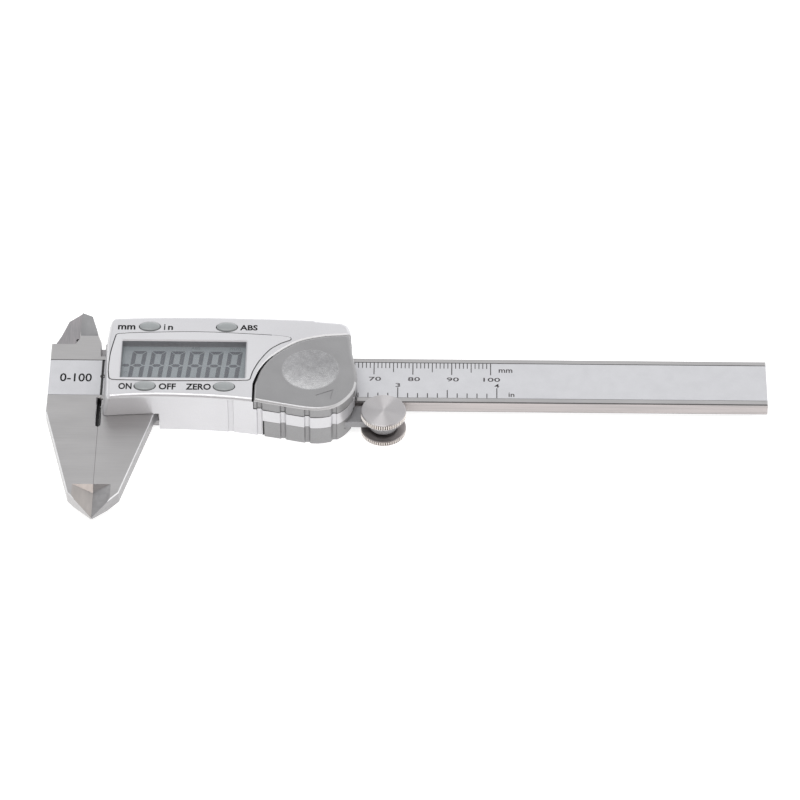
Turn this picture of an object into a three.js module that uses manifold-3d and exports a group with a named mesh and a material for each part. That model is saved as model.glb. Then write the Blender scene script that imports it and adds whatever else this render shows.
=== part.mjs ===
// Digital caliper, 100 mm / 4 in, with a thumb roller and a sliding battery cover.
// Millimetres, +Z up. The caliper lies on its back: +X runs along the beam to its free end, the
// outer jaws point to -Y, and the display faces +Z.
//
// Everything is drawn in the gauge frame, where X = 0 is the closed jaw seam (the scale's zero),
// Y = 0 the beam's centre line and Z = 0 the beam's front face. The last group moves the gauge
// frame so that the part's origin is the centre of its footprint, on the surface it lies on.

import * as THREE from 'three';
import { mergeVertices } from 'three/addons/utils/BufferGeometryUtils.js';
import Module from 'manifold-3d';

const wasm = await Module();
wasm.setup();

// ---------------------------------------------------------------- driving dimensions

const BEAM = { left: -13.57, right: 170.93, half: 8, thick: 3.5 };
const LABEL = { half: 6.4, depth: 0.75 };
const BADGE_RIGHT = -0.25;               // the badge label's end, by the scale's zero
const SCALE_LEFT = 0.5;                  // the scale label's start
const JAW = { root: -12.7, corner: 6.5, cornerY: -41.4, tip: -48.85, seam: 0.03 };
const RELIEF = { left: -0.7, right: 0.45, low: -17.3, point: -18 }; // slot above the jaws
const KNIFE = { top: -38.45, wall: 1.35, left: 5.35, right: 4.4, depth: 1.5 };
const INSIDE = { edge: -6.4, tip: 25.3, bodyTop: 12.5, bevel: 15.4, split: -1.7 };
const BACK = -5.5;                       // the surface the caliper lies on
const TOP = 7;                           // top of the housing over the beam's face
const SHELL = { wall: 1.3, ceiling: 5.4, left: 0.15, leftTop: 1.4, round: 1.2, mouth: 4.5 };
const BEZEL = { low: 6.45, high: 7.15 };
const SPLIT_LOW = 0.1;                   // grip base below, silver band above
const SPLIT_HIGH = 3.8;                  // silver band below, battery cover above
const THUMB_LEFT = 42.4;
const FRAME = { left: 0.5, right: 63.3, low: -11.6, wallHigh: 8.45 };
const WINDOW = { left: 5.25, right: 37.25, low: -6.95, high: 6.55 };
const BUTTON = { rx: 2.8, ry: 1.75, top: 7.5, bottom: 2.25, gap: 0.1 };
const BUTTONS = [
  { name: 'unit', x: 12.1, y: 11.8 },
  { name: 'abs', x: 31.95, y: 11.8 },
  { name: 'power', x: 11.8, y: -10.1 },
  { name: 'zero', x: 32, y: -10.1 },
];
const CELL = { x: 53.6, y: -2.95, r: 10, bottom: 2.45, thick: 3.2 };
const BAY = { r: 10.3, ring: 11, floor: 2.2, under: 1.3, rim: 5.55, front: -13.4 };
const POST = { r: 1.5, low: 1.3 };       // screw posts under the housing's top
const DIMPLE = { x: 53.9, y: -3.75, r: 7.3, depth: 0.7 };
const COVER_LOW = 5.9;                   // underside of the battery cover's top
const COVER_TOP = 7.1;
const APRON = { left: 64.6, low: -6.8, bottom: 0.6 }; // the cover's wall over the beam
const GROOVES = [41.1, 47.1, 53.3, 60.3]; // finger grooves down the thumb rest
const GROOVE_WIDTH = 1.3;
const GROOVE_DEPTH = 0.5;
const ROLLER = { x: 72.65, y: -13.1, r: 5.8, hub: 3.8, axle: 1.5, bore: 1.6 };
const UPPER_DISC = { low: 0.1, high: 2 };
const LOWER_DISC = { low: -5.4, high: -3.9 };
const BRACKET_SCREW = { x: 59.5, y: -14.3 };
const SCREW = { shank: 0.7, hole: 0.8, head: 1.35, seat: 1.45 };
const PLATE = { low: -4.6, high: -3.6 };
const HOUSING_SCREWS = [[5.6, 9.9], [5.6, -9.9], [60.5, 9.9], [60.5, -9.9]];
const GIB_SCREWS = [16, 46];
const GIB = { low: 8.06, high: 8.38, screw: 0.85, hole: 1, end: 12.6 };
const CLEARANCE_HOLE = 0.95;             // round a housing screw's shank
const WIPER = { half: 7.9, low: 0.06, high: 0.55 };
const FRAME_BARS = [[0.9, 3.2], [60.3, 63.2]]; // X spans of the bars that bridge the beam
const BOARD = { left: 4.7, right: 58.5, low: 0.2, high: 1.2 };
const CHIP = { x: 21, r: 3.5, high: 2.05 };
const ZEBRA = { x: [7, 35.5], y: 6.9, half: 0.7, low: 1.25, high: 3.25 };
const LCD = { x: [4.6, 38.2], half: 7.6, low: 3.3, high: 4.9 };
const LENS = { edge: 0.35, gasket: [0.4, 0.8], low: 5, high: 5.35 };
const DOME = { r: 1.6, low: 1.25, high: 1.72 };
const ROD = { left: 57, half: 1.4, low: -3.35, high: -2.15, bed: 1.6, bedTop: -2, bedLeft: 40 };
const PIN = { x: 60.5, r: 0.75, hole: 0.85, head: 1.2 };
const STOP = { left: 163.8, right: 169.3, half: 5.5, low: -4.5, high: -3.55, screw: 4 };

// ---------------------------------------------------------------- shape helpers

function solidOf(geometry) {
  let bare = geometry.clone();
  bare.deleteAttribute('normal');
  bare.deleteAttribute('uv');
  bare = mergeVertices(bare, 1e-4);
  return new wasm.Manifold(new wasm.Mesh({
    numProp: 3,
    vertProperties: new Float32Array(bare.attributes.position.array),
    triVerts: new Uint32Array(bare.index.array),
  }));
}

function geometryOf(solid) {
  const mesh = solid.getMesh();
  const geometry = new THREE.BufferGeometry();
  geometry.setAttribute('position', new THREE.BufferAttribute(mesh.vertProperties, 3));
  geometry.setIndex(new THREE.BufferAttribute(mesh.triVerts, 1));
  geometry.computeVertexNormals();
  return geometry;
}

function cut(body, ...tools) {
  return tools.reduce((rest, tool) => rest.subtract(tool), body);
}

function join(body, ...others) {
  return others.reduce((whole, other) => whole.add(other), body);
}

function box(x0, x1, y0, y1, z0, z1) {
  const geometry = new THREE.BoxGeometry(x1 - x0, y1 - y0, z1 - z0);
  geometry.translate((x0 + x1) / 2, (y0 + y1) / 2, (z0 + z1) / 2);
  return solidOf(geometry);
}

function disc(x, y, r, z0, z1, sides = 24) {
  const geometry = new THREE.CylinderGeometry(r, r, z1 - z0, sides);
  geometry.rotateX(Math.PI / 2);
  geometry.translate(x, y, (z0 + z1) / 2);
  return solidOf(geometry);
}

// A turned piece: profile points are [radius, z], from the axis back to the axis.
function turned(x, y, profile, sides = 24) {
  const points = profile.map(([r, z]) => new THREE.Vector2(r, z));
  const geometry = new THREE.LatheGeometry(points, sides);
  geometry.rotateX(Math.PI / 2);
  geometry.translate(x, y, 0);
  return solidOf(geometry);
}

function ring(x, y, inner, outer, z0, z1, sides = 32) {
  return disc(x, y, outer, z0, z1, sides).subtract(disc(x, y, inner, z0 - 1, z1 + 1, sides));
}

function ellipsePoints(x, y, rx, ry, sides = 20) {
  const step = 2 * Math.PI / sides;
  return Array.from({ length: sides }, (_, i) => [x + rx * Math.cos(i * step),
    y + ry * Math.sin(i * step)]);
}

function ellipse(x, y, rx, ry, z0, z1) {
  return plate(ellipsePoints(x, y, rx, ry), z0, z1);
}

function shapeOf(points) {
  return new THREE.Shape(points.map(([x, y]) => new THREE.Vector2(x, y)));
}

// A flat plate: an outline in X and Y, extruded from z0 to z1.
function plate(points, z0, z1) {
  const geometry = new THREE.ExtrudeGeometry(shapeOf(points), { depth: z1 - z0, bevelEnabled: false });
  geometry.translate(0, 0, z0);
  return solidOf(geometry);
}

// A plate whose upper edge is rounded by the given radius.
function roundedPlate(points, z0, z1, round) {
  const geometry = new THREE.ExtrudeGeometry(shapeOf(points), {
    depth: z1 - z0 - round,
    bevelThickness: round,
    bevelSize: round,
    bevelOffset: -round,
    bevelSegments: 2,
  });
  geometry.translate(0, 0, z0);
  return solidOf(geometry).subtract(box(-50, 200, -80, 80, z0 - round - 1, z0));
}

// An outline in Y and Z, extruded along X from x0 to x1.
function crossPlate(points, x0, x1) {
  const geometry = new THREE.ExtrudeGeometry(shapeOf(points), { depth: x1 - x0, bevelEnabled: false });
  geometry.rotateX(Math.PI / 2);
  geometry.rotateZ(Math.PI / 2);
  geometry.translate(x0, 0, 0);
  return solidOf(geometry);
}

// An outline in X and Z, extruded along Y from y0 to y1.
function sidePlate(points, y0, y1) {
  const geometry = new THREE.ExtrudeGeometry(shapeOf(points), { depth: y1 - y0, bevelEnabled: false });
  geometry.rotateX(Math.PI / 2);
  geometry.translate(0, y1, 0);
  return solidOf(geometry);
}

// A point list through a smooth curve, ends included.
function smooth(points, divisions) {
  const curve = new THREE.SplineCurve(points.map(([x, y]) => new THREE.Vector2(x, y)));
  return curve.getPoints(divisions).map((p) => [p.x, p.y]);
}

// A counter-clockwise outline moved inwards by d (outwards if d is negative).
function inset(points, d) {
  return points.map((point, i) => {
    const before = points[(i + points.length - 1) % points.length];
    const after = points[(i + 1) % points.length];
    const a = new THREE.Vector2(point[0] - before[0], point[1] - before[1]).normalize();
    const b = new THREE.Vector2(after[0] - point[0], after[1] - point[1]).normalize();
    const normal = new THREE.Vector2(-a.y - b.y, a.x + b.x).normalize();
    const reach = d / Math.max(0.5, normal.x * -a.y + normal.y * a.x);
    return [point[0] + normal.x * reach, point[1] + normal.y * reach];
  });
}

// ---------------------------------------------------------------- outlines (counter-clockwise)

const THUMB_FRONT = smooth([[38.5, -14.7], [46.4, -16.4], [54, -17.95], [58.5, -17.6], [62, -15.7],
  [64.3, -12.6], [65.3, -9.6]], 16);

function housingOutline() {
  return [
    ...smooth([[SHELL.left, -14.1], [8, -13.5], [15.3, -13.2], [26, -13.5], [34, -14.1]], 8),
    ...THUMB_FRONT,
    [64.4, -8.6],
    [64.4, 5],
    ...smooth([[64, 10.6], [63.2, 12.9], [61.6, 14.1]], 4),
    [55.8, 14.7],
    [53.7, 15.2],
    ...smooth([[43.4, 15.6], [27.7, 15.9], [15.2, 15.8], [4.3, 15.35]], 4),
    [1.3, 15.1],
    [SHELL.left, 13.8],
  ];
}

function coverOutline() {
  const back = smooth([[57.5, 9], [50.5, 6.8], [44.2, 1.5], [41.2, -3.4], [39.7, -9]], 10);
  return [
    ...smooth([[39.7, -14.75], [46.4, -16.3], [54, -17.8], [58.5, -17.5], [62, -15.6],
      [64.9, -11.6], [65.8, -7.5], [65.7, -4], [65.1, -0.5], [64.3, 4], [63.9, 8.4]], 20),
    [63.2, 9.35],
    ...back,
  ];
}

function bezelOutline() {
  return [
    ...smooth([[3.5, -7.8], [19.4, -8.05], [38.4, -7.6]], 2),
    ...smooth([[39, -4.6], [40.6, -0.6], [43.2, 3.6], [46, 6.2], [49.1, 7.3]], 8),
    [48.3, 8.4],
    ...smooth([[40.7, 9], [24.9, 9.8], [9.3, 9.3], [4.6, 8.8]], 6),
    ...smooth([[3.3, 6.5], [2.5, 0.6], [2.4, -4.8]], 4),
  ];
}

// ---------------------------------------------------------------- beam body

// The knife edges ground into one outer jaw, front and back. side is -1 left of the seam, +1 right.
function knifeCuts(side) {
  const mid = -BEAM.thick / 2;
  const half = side < 0 ? KNIFE.left : KNIFE.right;
  const far = side * half;
  const over = -side * 0.5;
  const lift = KNIFE.depth * 0.5 / half;
  const profile = [[far, 0], [over, -KNIFE.depth - lift], [over, 1], [far, 1]];
  const end = [[KNIFE.top, 1], [KNIFE.top, 0], [KNIFE.top - 1.1 * KNIFE.wall, -1.1 * KNIFE.depth],
    [JAW.tip - 2, -1.1 * KNIFE.depth], [JAW.tip - 2, 1]];
  const front = sidePlate(profile, JAW.tip - 1, KNIFE.top).intersect(crossPlate(end, -7, 7));
  return [front, front.mirror([0, 0, 1]).translate([0, 0, 2 * mid])];
}

function beam() {
  const { left, right, half, thick } = BEAM;
  const full = plate([
    [left, JAW.root],
    [-JAW.corner, JAW.cornerY],
    [-JAW.seam - 0.1, JAW.tip],
    [-JAW.seam, JAW.tip],
    [-JAW.seam, RELIEF.point],
    [RELIEF.left, RELIEF.low],
    [RELIEF.left, -7.3],
    [0.15, -7.3],
    [0.15, -half],
    [right, -half],
    [right, half],
    [left, half],
  ], -thick, 0);
  const insideBlade = plate([
    [left, half - 0.5],
    [-0.4, half - 0.5],
    [-0.68, 13],
    [-1.51, INSIDE.bevel],
    [-3.6, 23.7],
    [INSIDE.edge, INSIDE.tip],
    [INSIDE.edge, 14.6],
    [-7.5, INSIDE.bodyTop],
    [left, INSIDE.bodyTop],
  ], INSIDE.split, 0);
  const bladeGrind = crossPlate([[INSIDE.bevel, 0], [INSIDE.tip + 1, -1.4], [INSIDE.tip + 1, 1],
    [INSIDE.bevel, 1]], -10, 2);
  const labelBed = box(left - 1, right + 1, -LABEL.half, LABEL.half, -LABEL.depth, 1);
  const rodBed = box(ROD.bedLeft, right + 1, -ROD.bed, ROD.bed, -thick - 1, ROD.bedTop);
  const screwHoles = [-1, 1].map((side) => disc(stopCentre(), side * STOP.screw, SCREW.hole,
    -thick - 1, -1.3, 16));
  return cut(join(full, insideBlade), bladeGrind, labelBed, rodBed, ...screwHoles,
    ...knifeCuts(-1));
}

function stopCentre() {
  return (STOP.left + STOP.right) / 2;
}

// A countersunk screw pointing to +Z, its head flush with z.
function countersunkScrew(x, y, z, length) {
  const slotDepth = 0.35;
  const body = turned(x, y, [[0, z], [SCREW.head, z], [SCREW.shank, z + 0.65],
    [SCREW.shank, z + length], [0, z + length]], 20);
  const bars = [box(x - 0.8, x + 0.8, y - 0.15, y + 0.15, z - 1, z + slotDepth),
    box(x - 0.15, x + 0.15, y - 0.8, y + 0.8, z - 1, z + slotDepth)];
  return cut(body, ...bars);
}

// The countersunk hole such a screw sits in.
function countersunkHole(x, y, z, length) {
  return turned(x, y, [[0, z - 1], [SCREW.seat + 0.08, z - 1], [SCREW.seat + 0.08, z],
    [SCREW.hole + 0.04, z + 0.72], [SCREW.hole + 0.04, z + length], [0, z + length]], 20);
}

function endStopPlate() {
  const body = box(STOP.left, STOP.right, -STOP.half, STOP.half, STOP.low, STOP.high);
  return cut(body, ...[-1, 1].map((side) => countersunkHole(stopCentre(), side * STOP.screw,
    STOP.low, 3)));
}

// ---------------------------------------------------------------- slider: metal frame

function jawOutline() {
  return [
    [RELIEF.right, -8.1],
    [RELIEF.right, RELIEF.low],
    [JAW.seam, RELIEF.point],
    [JAW.seam, JAW.tip],
    [JAW.seam + 0.1, JAW.tip],
    [JAW.corner, JAW.cornerY],
    [13.45, -15.8],
    ...smooth([[13.8, -14.2], [14.3, -12.9], [15.1, -12.1]], 4),
    [15.1, FRAME.low],
    [FRAME.right, FRAME.low],
    [FRAME.right, -8.1],
  ];
}

function insideBladeOutline() {
  return [
    [2, 8.45],
    [2, 12.2],
    [-5.5, 12.2],
    [-7.7, 14.2],
    [INSIDE.edge, 16.4],
    [INSIDE.edge, 25.5],
    [-9.7, 22.5],
    [-11.35, 17.2],
    [-12.6, 14.3],
    [-12.6, 8.45],
  ];
}

function sliderFrame() {
  const lower = plate(jawOutline(), -BEAM.thick, 0);
  const upper = plate([
    [FRAME.left, FRAME.wallHigh],
    [FRAME.right, FRAME.wallHigh],
    [FRAME.right, 10],
    [61, 12],
    [56, 13.2],
    [6.5, 13.5],
    [4.6, 12.5],
    [FRAME.left, 12.3],
  ], -BEAM.thick, 0);
  const blade = plate(insideBladeOutline(), -BEAM.thick, INSIDE.split - 0.1);
  const bars = FRAME_BARS.flatMap(([x0, x1]) => [
    box(x0, x1, FRAME.low + 0.2, 12, 0.6, 1.15),
    box(x0, x1, FRAME.low + 0.2, -8.15, -0.5, 0.8),
    box(x0, x1, FRAME.wallHigh, 12, -0.5, 0.8),
  ]);
  const gibHoles = GIB_SCREWS.map((x) => acrossDisc(x, GIB.hole, 8, 15));
  const screwHoles = HOUSING_SCREWS.map(([x, y]) => disc(x, y, CLEARANCE_HOLE, -5, 3, 16));
  return cut(join(lower, upper, blade, ...bars), ...gibHoles, ...screwHoles, ...knifeCuts(1));
}

// A round bar along Y at mid thickness of the beam.
function acrossDisc(x, r, y0, y1) {
  const geometry = new THREE.CylinderGeometry(r, r, y1 - y0, 16);
  geometry.translate(x, (y0 + y1) / 2, -BEAM.thick / 2);
  return solidOf(geometry);
}

function gibScrew(x) {
  const slot = box(x - 2, x + 2, GIB.end - 0.4, GIB.end + 1, -1.9, -1.6);
  return acrossDisc(x, GIB.screw, GIB.high + 0.1, GIB.end).subtract(slot);
}

function backPlate() {
  const body = plate([
    [0.9, -11.4],
    [63.1, -11.4],
    [63.1, 9.8],
    [61, 11.7],
    [56, 12.9],
    [6.6, 13.2],
    [4.7, 12.2],
    [0.9, 12],
  ], PLATE.low, PLATE.high);
  const holes = HOUSING_SCREWS.map(([x, y]) => countersunkHole(x, y, PLATE.low, 4));
  return cut(body, ...holes, disc(PIN.x, 0, PIN.hole, -6, 0, 16));
}

function depthRod() {
  const body = box(ROD.left, BEAM.right, -ROD.half, ROD.half, ROD.low, ROD.high);
  const tip = box(BEAM.right - 4, BEAM.right + 1, -ROD.half - 1, -0.4, ROD.low - 1, ROD.high + 1);
  return cut(body, tip, disc(PIN.x, 0, PIN.hole, -6, 0, 16));
}

function depthRodPin() {
  const head = PLATE.low - 0.05;
  return turned(PIN.x, 0, [[0, head - 0.35], [PIN.head, head - 0.35], [PIN.head, head],
    [PIN.r, head], [PIN.r, ROD.high], [0, ROD.high]], 20);
}

// ---------------------------------------------------------------- slider: electronics

function mainBoard() {
  const body = plate([
    [BOARD.left, -11.3],
    [BOARD.right, -11.3],
    [BOARD.right, 10.6],
    [50, 13],
    [7, 13],
    [BOARD.left, 11.8],
  ], BOARD.low, BOARD.high);
  const holes = HOUSING_SCREWS.slice(0, 2).map(([x, y]) => disc(x, y, CLEARANCE_HOLE, -5, 3, 16));
  return cut(body, ...holes);
}

// A box over the display window, its edges standing out by a margin.
function windowBox(margin, z0, z1) {
  return box(WINDOW.left - margin, WINDOW.right + margin, WINDOW.low - margin,
    WINDOW.high + margin, z0, z1);
}

function windowGasket() {
  const [inner, outer] = LENS.gasket;
  return windowBox(outer, LENS.low, LENS.high).subtract(windowBox(inner, 0, TOP));
}

function button({ x, y }) {
  const flange = ellipse(x, y, BUTTON.rx + 0.7, BUTTON.ry - 0.05, BUTTON.bottom, 4.9);
  const stem = roundedPlate(ellipsePoints(x, y, BUTTON.rx - BUTTON.gap, BUTTON.ry - BUTTON.gap),
    4.5, BUTTON.top, 0.5);
  return join(flange, stem);
}

// ---------------------------------------------------------------- slider: housing

function grooveCuts(z0, z1, inward = 0) {
  return GROOVES.map((x) => {
    const wall = frontWallAt(x) + inward;
    return box(x - GROOVE_WIDTH / 2, x + GROOVE_WIDTH / 2, wall - 3, wall + GROOVE_DEPTH, z0, z1);
  });
}

// Y of the thumb rest's front wall at a given X.
function frontWallAt(x) {
  const i = THUMB_FRONT.findIndex(([px]) => px > x);
  const [x0, y0] = THUMB_FRONT[i - 1];
  const [x1, y1] = THUMB_FRONT[i];
  return y0 + (y1 - y0) * (x - x0) / (x1 - x0);
}

// What is cut out of the housing's rim: the ends the beam runs through, the jaw and the grip base.
function rimCuts() {
  const slant = sidePlate([[SHELL.left, BACK - 1], [SHELL.left, 0.5], [SHELL.leftTop, TOP + 1],
    [-4, TOP + 1], [-4, BACK - 1]], -20, 20);
  return [
    slant,
    box(-1, SHELL.mouth, -11.9, 12.6, BACK - 1, POST.low),
    box(62, 63.5, -12.2, 12.3, BACK - 1, POST.low),
    box(62, 68, -8.5, 12.3, BACK - 1, POST.low),
    box(-1, 15.4, -16, -11.8, BACK - 1, 0.1),
    box(THUMB_LEFT, 68, -20, -11.8, BACK - 1, SPLIT_LOW),
    box(62, 68, -20, -8, BACK - 1, SPLIT_LOW),
  ];
}

// What is cut through the housing's top: the window, the bezel's bed and the four button holes.
function topCuts() {
  return [
    windowBox(0, 4, TOP + 1),
    plate(inset(bezelOutline(), -0.1), BEZEL.low - 0.05, TOP + 1),
    ...BUTTONS.map(({ x, y }) => ellipse(x, y, BUTTON.rx, BUTTON.ry, 4, TOP + 1)),
  ];
}

function housingCover() {
  const outline = housingOutline();
  const outer = roundedPlate(outline, BACK, TOP, SHELL.round);
  const hollow = plate(inset(outline, SHELL.wall), BACK - 1, SHELL.ceiling)
    .subtract(box(-1, SHELL.mouth - 0.1, -20, 20, POST.low, TOP + 1));
  const cover = coverOutline();
  const deck = plate(inset(cover, -SHELL.wall), 2.7, TOP - 0.05).intersect(outer);
  const coverBed = [
    plate(inset(cover, -0.25), SPLIT_HIGH, TOP + 1),
    box(57, 68, -20, 9.6, SPLIT_HIGH, TOP + 1),
  ];
  const bayFront = box(30, 70, -20, BAY.front, SPLIT_HIGH, TOP);
  const bay = disc(CELL.x, CELL.y, BAY.ring, BAY.under, BAY.rim, 40).intersect(outer)
    .subtract(bayFront);
  const posts = HOUSING_SCREWS.map(([x, y]) => cut(
    disc(x, y, POST.r, POST.low, SHELL.ceiling + 0.2, 12).intersect(outer),
    ...coverBed,
  ));
  const well = disc(CELL.x, CELL.y, BAY.r, BAY.floor, COVER_LOW - 0.05, 40);
  const screwHoles = HOUSING_SCREWS.map(([x, y]) => disc(x, y, SCREW.hole, 0, 2, 16));
  const shell = cut(join(cut(outer, hollow), deck), ...coverBed);
  return cut(join(shell, bay, ...posts), ...rimCuts(), ...topCuts(), well, ...screwHoles,
    ...grooveCuts(BACK - 1, SPLIT_HIGH + 0.1));
}

function displayBezel() {
  const body = roundedPlate(bezelOutline(), BEZEL.low, BEZEL.high, 0.15);
  return body.subtract(windowBox(0, 4, TOP + 1));
}

function batteryCover() {
  const outline = coverOutline();
  const outer = roundedPlate(outline, SPLIT_HIGH + 0.05, COVER_TOP, 0.6);
  const hollow = [
    plate(inset(outline, 1.1), 0, COVER_LOW),
    box(30, APRON.left, BAY.front - 0.15, 2.5, 0, COVER_LOW),
    box(30, 62.6, 2.5, 12, 0, COVER_LOW),
  ];
  const apron = plate(outline, APRON.bottom, 6)
    .intersect(box(APRON.left, 70, APRON.low, 8, APRON.bottom, 6));
  const dimple = turned(DIMPLE.x, DIMPLE.y, dimpleProfile(), 32);
  return cut(join(cut(outer, ...hollow), apron), dimple, ...grooveCuts(0, TOP - 0.4, 0.15));
}

// The lower cap of a sphere that touches the cover's top along the dimple's rim.
function dimpleProfile() {
  const sphereR = (DIMPLE.r ** 2 + DIMPLE.depth ** 2) / (2 * DIMPLE.depth);
  const centre = COVER_TOP - DIMPLE.depth + sphereR;
  const span = Math.asin(DIMPLE.r / sphereR) * 1.05;
  const arc = [];
  for (let i = 0; i <= 5; i += 1) {
    const angle = span * i / 5;
    arc.push([sphereR * Math.sin(angle), centre - sphereR * Math.cos(angle)]);
  }
  return [...arc, [0, COVER_TOP + 1]];
}

// ---------------------------------------------------------------- slider: thumb grip and roller

function gripBase() {
  const back = -12.35;
  const outline = [
    [THUMB_LEFT + 0.2, back],
    [THUMB_LEFT + 0.2, frontWallAt(THUMB_LEFT + 0.2)],
    ...THUMB_FRONT.filter(([x, y]) => x > THUMB_LEFT + 1 && y < back),
    [64.4, back],
  ];
  const body = plate(outline, BACK, SPLIT_LOW - 0.05);
  const armBed = plate([[56.7, -16.2], [62.4, -15.2], [70, -14.7], [70, -11], [56.7, -11]],
    -3.1, -0.9);
  const screwHole = turned(BRACKET_SCREW.x, BRACKET_SCREW.y, [[0, -7], [1.6, -7], [1.6, -4.5],
    [0.9, -4.5], [0.9, -2], [0, -2]], 20);
  return cut(body, armBed, screwHole, ...grooveCuts(BACK - 1, 1));
}

function bracketScrew() {
  const { x, y } = BRACKET_SCREW;
  const body = turned(x, y, [[0, -5.3], [1.4, -5.3], [1.4, -4.6], [SCREW.shank, -4.6],
    [SCREW.shank, -1.1], [0, -1.1]], 20);
  return body.subtract(box(x - 1.5, x + 1.5, y - 0.15, y + 0.15, -7, -4.9));
}

function rollerBracket() {
  const arm = plate([[57, -15.8], [62.2, -14.9], [64.4, -14.4], [ROLLER.x, -14.5],
    [ROLLER.x, -8.6], [65.2, -8.6], [64.6, -12.7], [57, -12.7]], -3, -1);
  const boss = disc(ROLLER.x, ROLLER.y, ROLLER.hub, -3.35, 0, 32);
  return cut(join(arm, boss), disc(ROLLER.x, ROLLER.y, ROLLER.bore, -6, 6, 24),
    disc(BRACKET_SCREW.x, BRACKET_SCREW.y, SCREW.hole, -6, 6, 16));
}

function rollerAxle() {
  const body = disc(ROLLER.x, ROLLER.y, ROLLER.axle, -4.85, 1.1, 24);
  return body.subtract(disc(ROLLER.x, ROLLER.y, SCREW.hole, -6, -2.9, 16));
}

function rollerDiscUpper() {
  const { low, high } = UPPER_DISC;
  const body = turned(ROLLER.x, ROLLER.y, [[0, low], [ROLLER.r - 0.2, low], [ROLLER.r, low + 0.2],
    [ROLLER.r, high - 0.25], [ROLLER.r - 0.25, high], [0, high]], 48);
  return body.subtract(disc(ROLLER.x, ROLLER.y, ROLLER.bore, low - 1, 1.2, 24));
}

function rollerDiscLower() {
  const { low, high } = LOWER_DISC;
  const body = turned(ROLLER.x, ROLLER.y, [[0, low], [ROLLER.r - 0.25, low], [ROLLER.r, low + 0.25],
    [ROLLER.r, high - 0.2], [ROLLER.r - 0.2, high], [0, high]], 48);
  return cut(body, disc(ROLLER.x, ROLLER.y, ROLLER.bore, low, high + 1, 24),
    disc(ROLLER.x, ROLLER.y, 2.2, low - 1, -4.85, 24));
}

function rollerScrew() {
  const body = turned(ROLLER.x, ROLLER.y, [[0, -5.3], [2, -5.3], [2, -4.9], [SCREW.shank, -4.9],
    [SCREW.shank, -3], [0, -3]], 24);
  return body.subtract(box(ROLLER.x - 3, ROLLER.x + 3, ROLLER.y - 0.2, ROLLER.y + 0.2, -6, -5.1));
}

// ---------------------------------------------------------------- materials

function finish(color, roughness, metalness) {
  return new THREE.MeshStandardMaterial({ color, roughness, metalness });
}

const STEEL = finish(0xb9b9ba, 0.35, 1);
const DARK_STEEL = finish(0x9a9a9b, 0.4, 1);
const SILVER = finish(0xd8d8dc, 0.4, 0.2);
const GREY = finish(0x9a9b9c, 0.5, 0.1);
const BUTTON_GREY = finish(0x94a0a0, 0.5, 0);
const FOIL = finish(0xd4d6d8, 0.5, 0.1);
const FELT = finish(0x303030, 0.95, 0);
const GREEN = finish(0x2c5a3c, 0.6, 0);
const BLACK = finish(0x1c1c1e, 0.6, 0);
const GLASS = finish(0x91999e, 0.15, 0);
const COPPER = finish(0xc9a25a, 0.35, 1);

// ---------------------------------------------------------------- assembly

const gauge = new THREE.Group();

function add(name, solid, material) {
  const mesh = new THREE.Mesh(geometryOf(solid), material);
  mesh.name = name;
  gauge.add(mesh);
}

add('beam', beam(), STEEL);
add('scale_grating_strip', box(BEAM.left + 0.05, BEAM.right - 0.05, -6.3, 6.3, -0.7, -0.25), GREEN);
add('badge_label', box(BEAM.left + 0.05, BADGE_RIGHT, -6.34, 6.34, -0.2, -0.05), FOIL);
add('scale_label', box(SCALE_LEFT, BEAM.right - 0.05, -6.34, 6.34, -0.2, -0.05), FOIL);
add('end_stop_plate', endStopPlate(), STEEL);
[-1, 1].forEach((side, i) => add(`end_stop_screw_${i + 1}`,
  countersunkScrew(stopCentre(), side * STOP.screw, STOP.low, 2.6), DARK_STEEL));

add('slider_frame', sliderFrame(), STEEL);
add('gib_strip', box(1.5, 62.5, GIB.low, GIB.high, -3.3, -0.2), COPPER);
GIB_SCREWS.forEach((x, i) => add(`gib_screw_${i + 1}`, gibScrew(x), DARK_STEEL));
add('back_plate', backPlate(), STEEL);
HOUSING_SCREWS.forEach(([x, y], i) => add(`housing_screw_${i + 1}`,
  countersunkScrew(x, y, PLATE.low, 6.4), DARK_STEEL));
add('depth_rod', depthRod(), STEEL);
add('depth_rod_pin', depthRodPin(), DARK_STEEL);
['wiper_seal_front', 'wiper_seal_rear'].forEach((name, i) => {
  const [x0, x1] = FRAME_BARS[i];
  add(name, box(x0 + 0.1, x1 - 0.1, -WIPER.half, WIPER.half, WIPER.low, WIPER.high), FELT);
});

add('main_board', mainBoard(), GREEN);
add('measuring_chip', disc(CHIP.x, 0, CHIP.r, BOARD.high + 0.05, CHIP.high, 24), BLACK);
[-ZEBRA.y, ZEBRA.y].forEach((y, i) => add(`zebra_connector_${i + 1}`,
  box(...ZEBRA.x, y - ZEBRA.half, y + ZEBRA.half, ZEBRA.low, ZEBRA.high), BLACK));
add('lcd_panel', box(...LCD.x, -LCD.half, LCD.half, LCD.low, LCD.high), GLASS);
add('window_gasket', windowGasket(), BLACK);
add('display_window', windowBox(LENS.edge, LENS.low, LENS.high), GLASS);
BUTTONS.forEach((spec) => {
  add(`switch_dome_${spec.name}`, turned(spec.x, spec.y, [[0, DOME.low], [DOME.r, DOME.low],
    [DOME.r * 0.7, DOME.high - 0.12], [0, DOME.high]], 20), COPPER);
  add(`button_${spec.name}`, button(spec), BUTTON_GREY);
});

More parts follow.
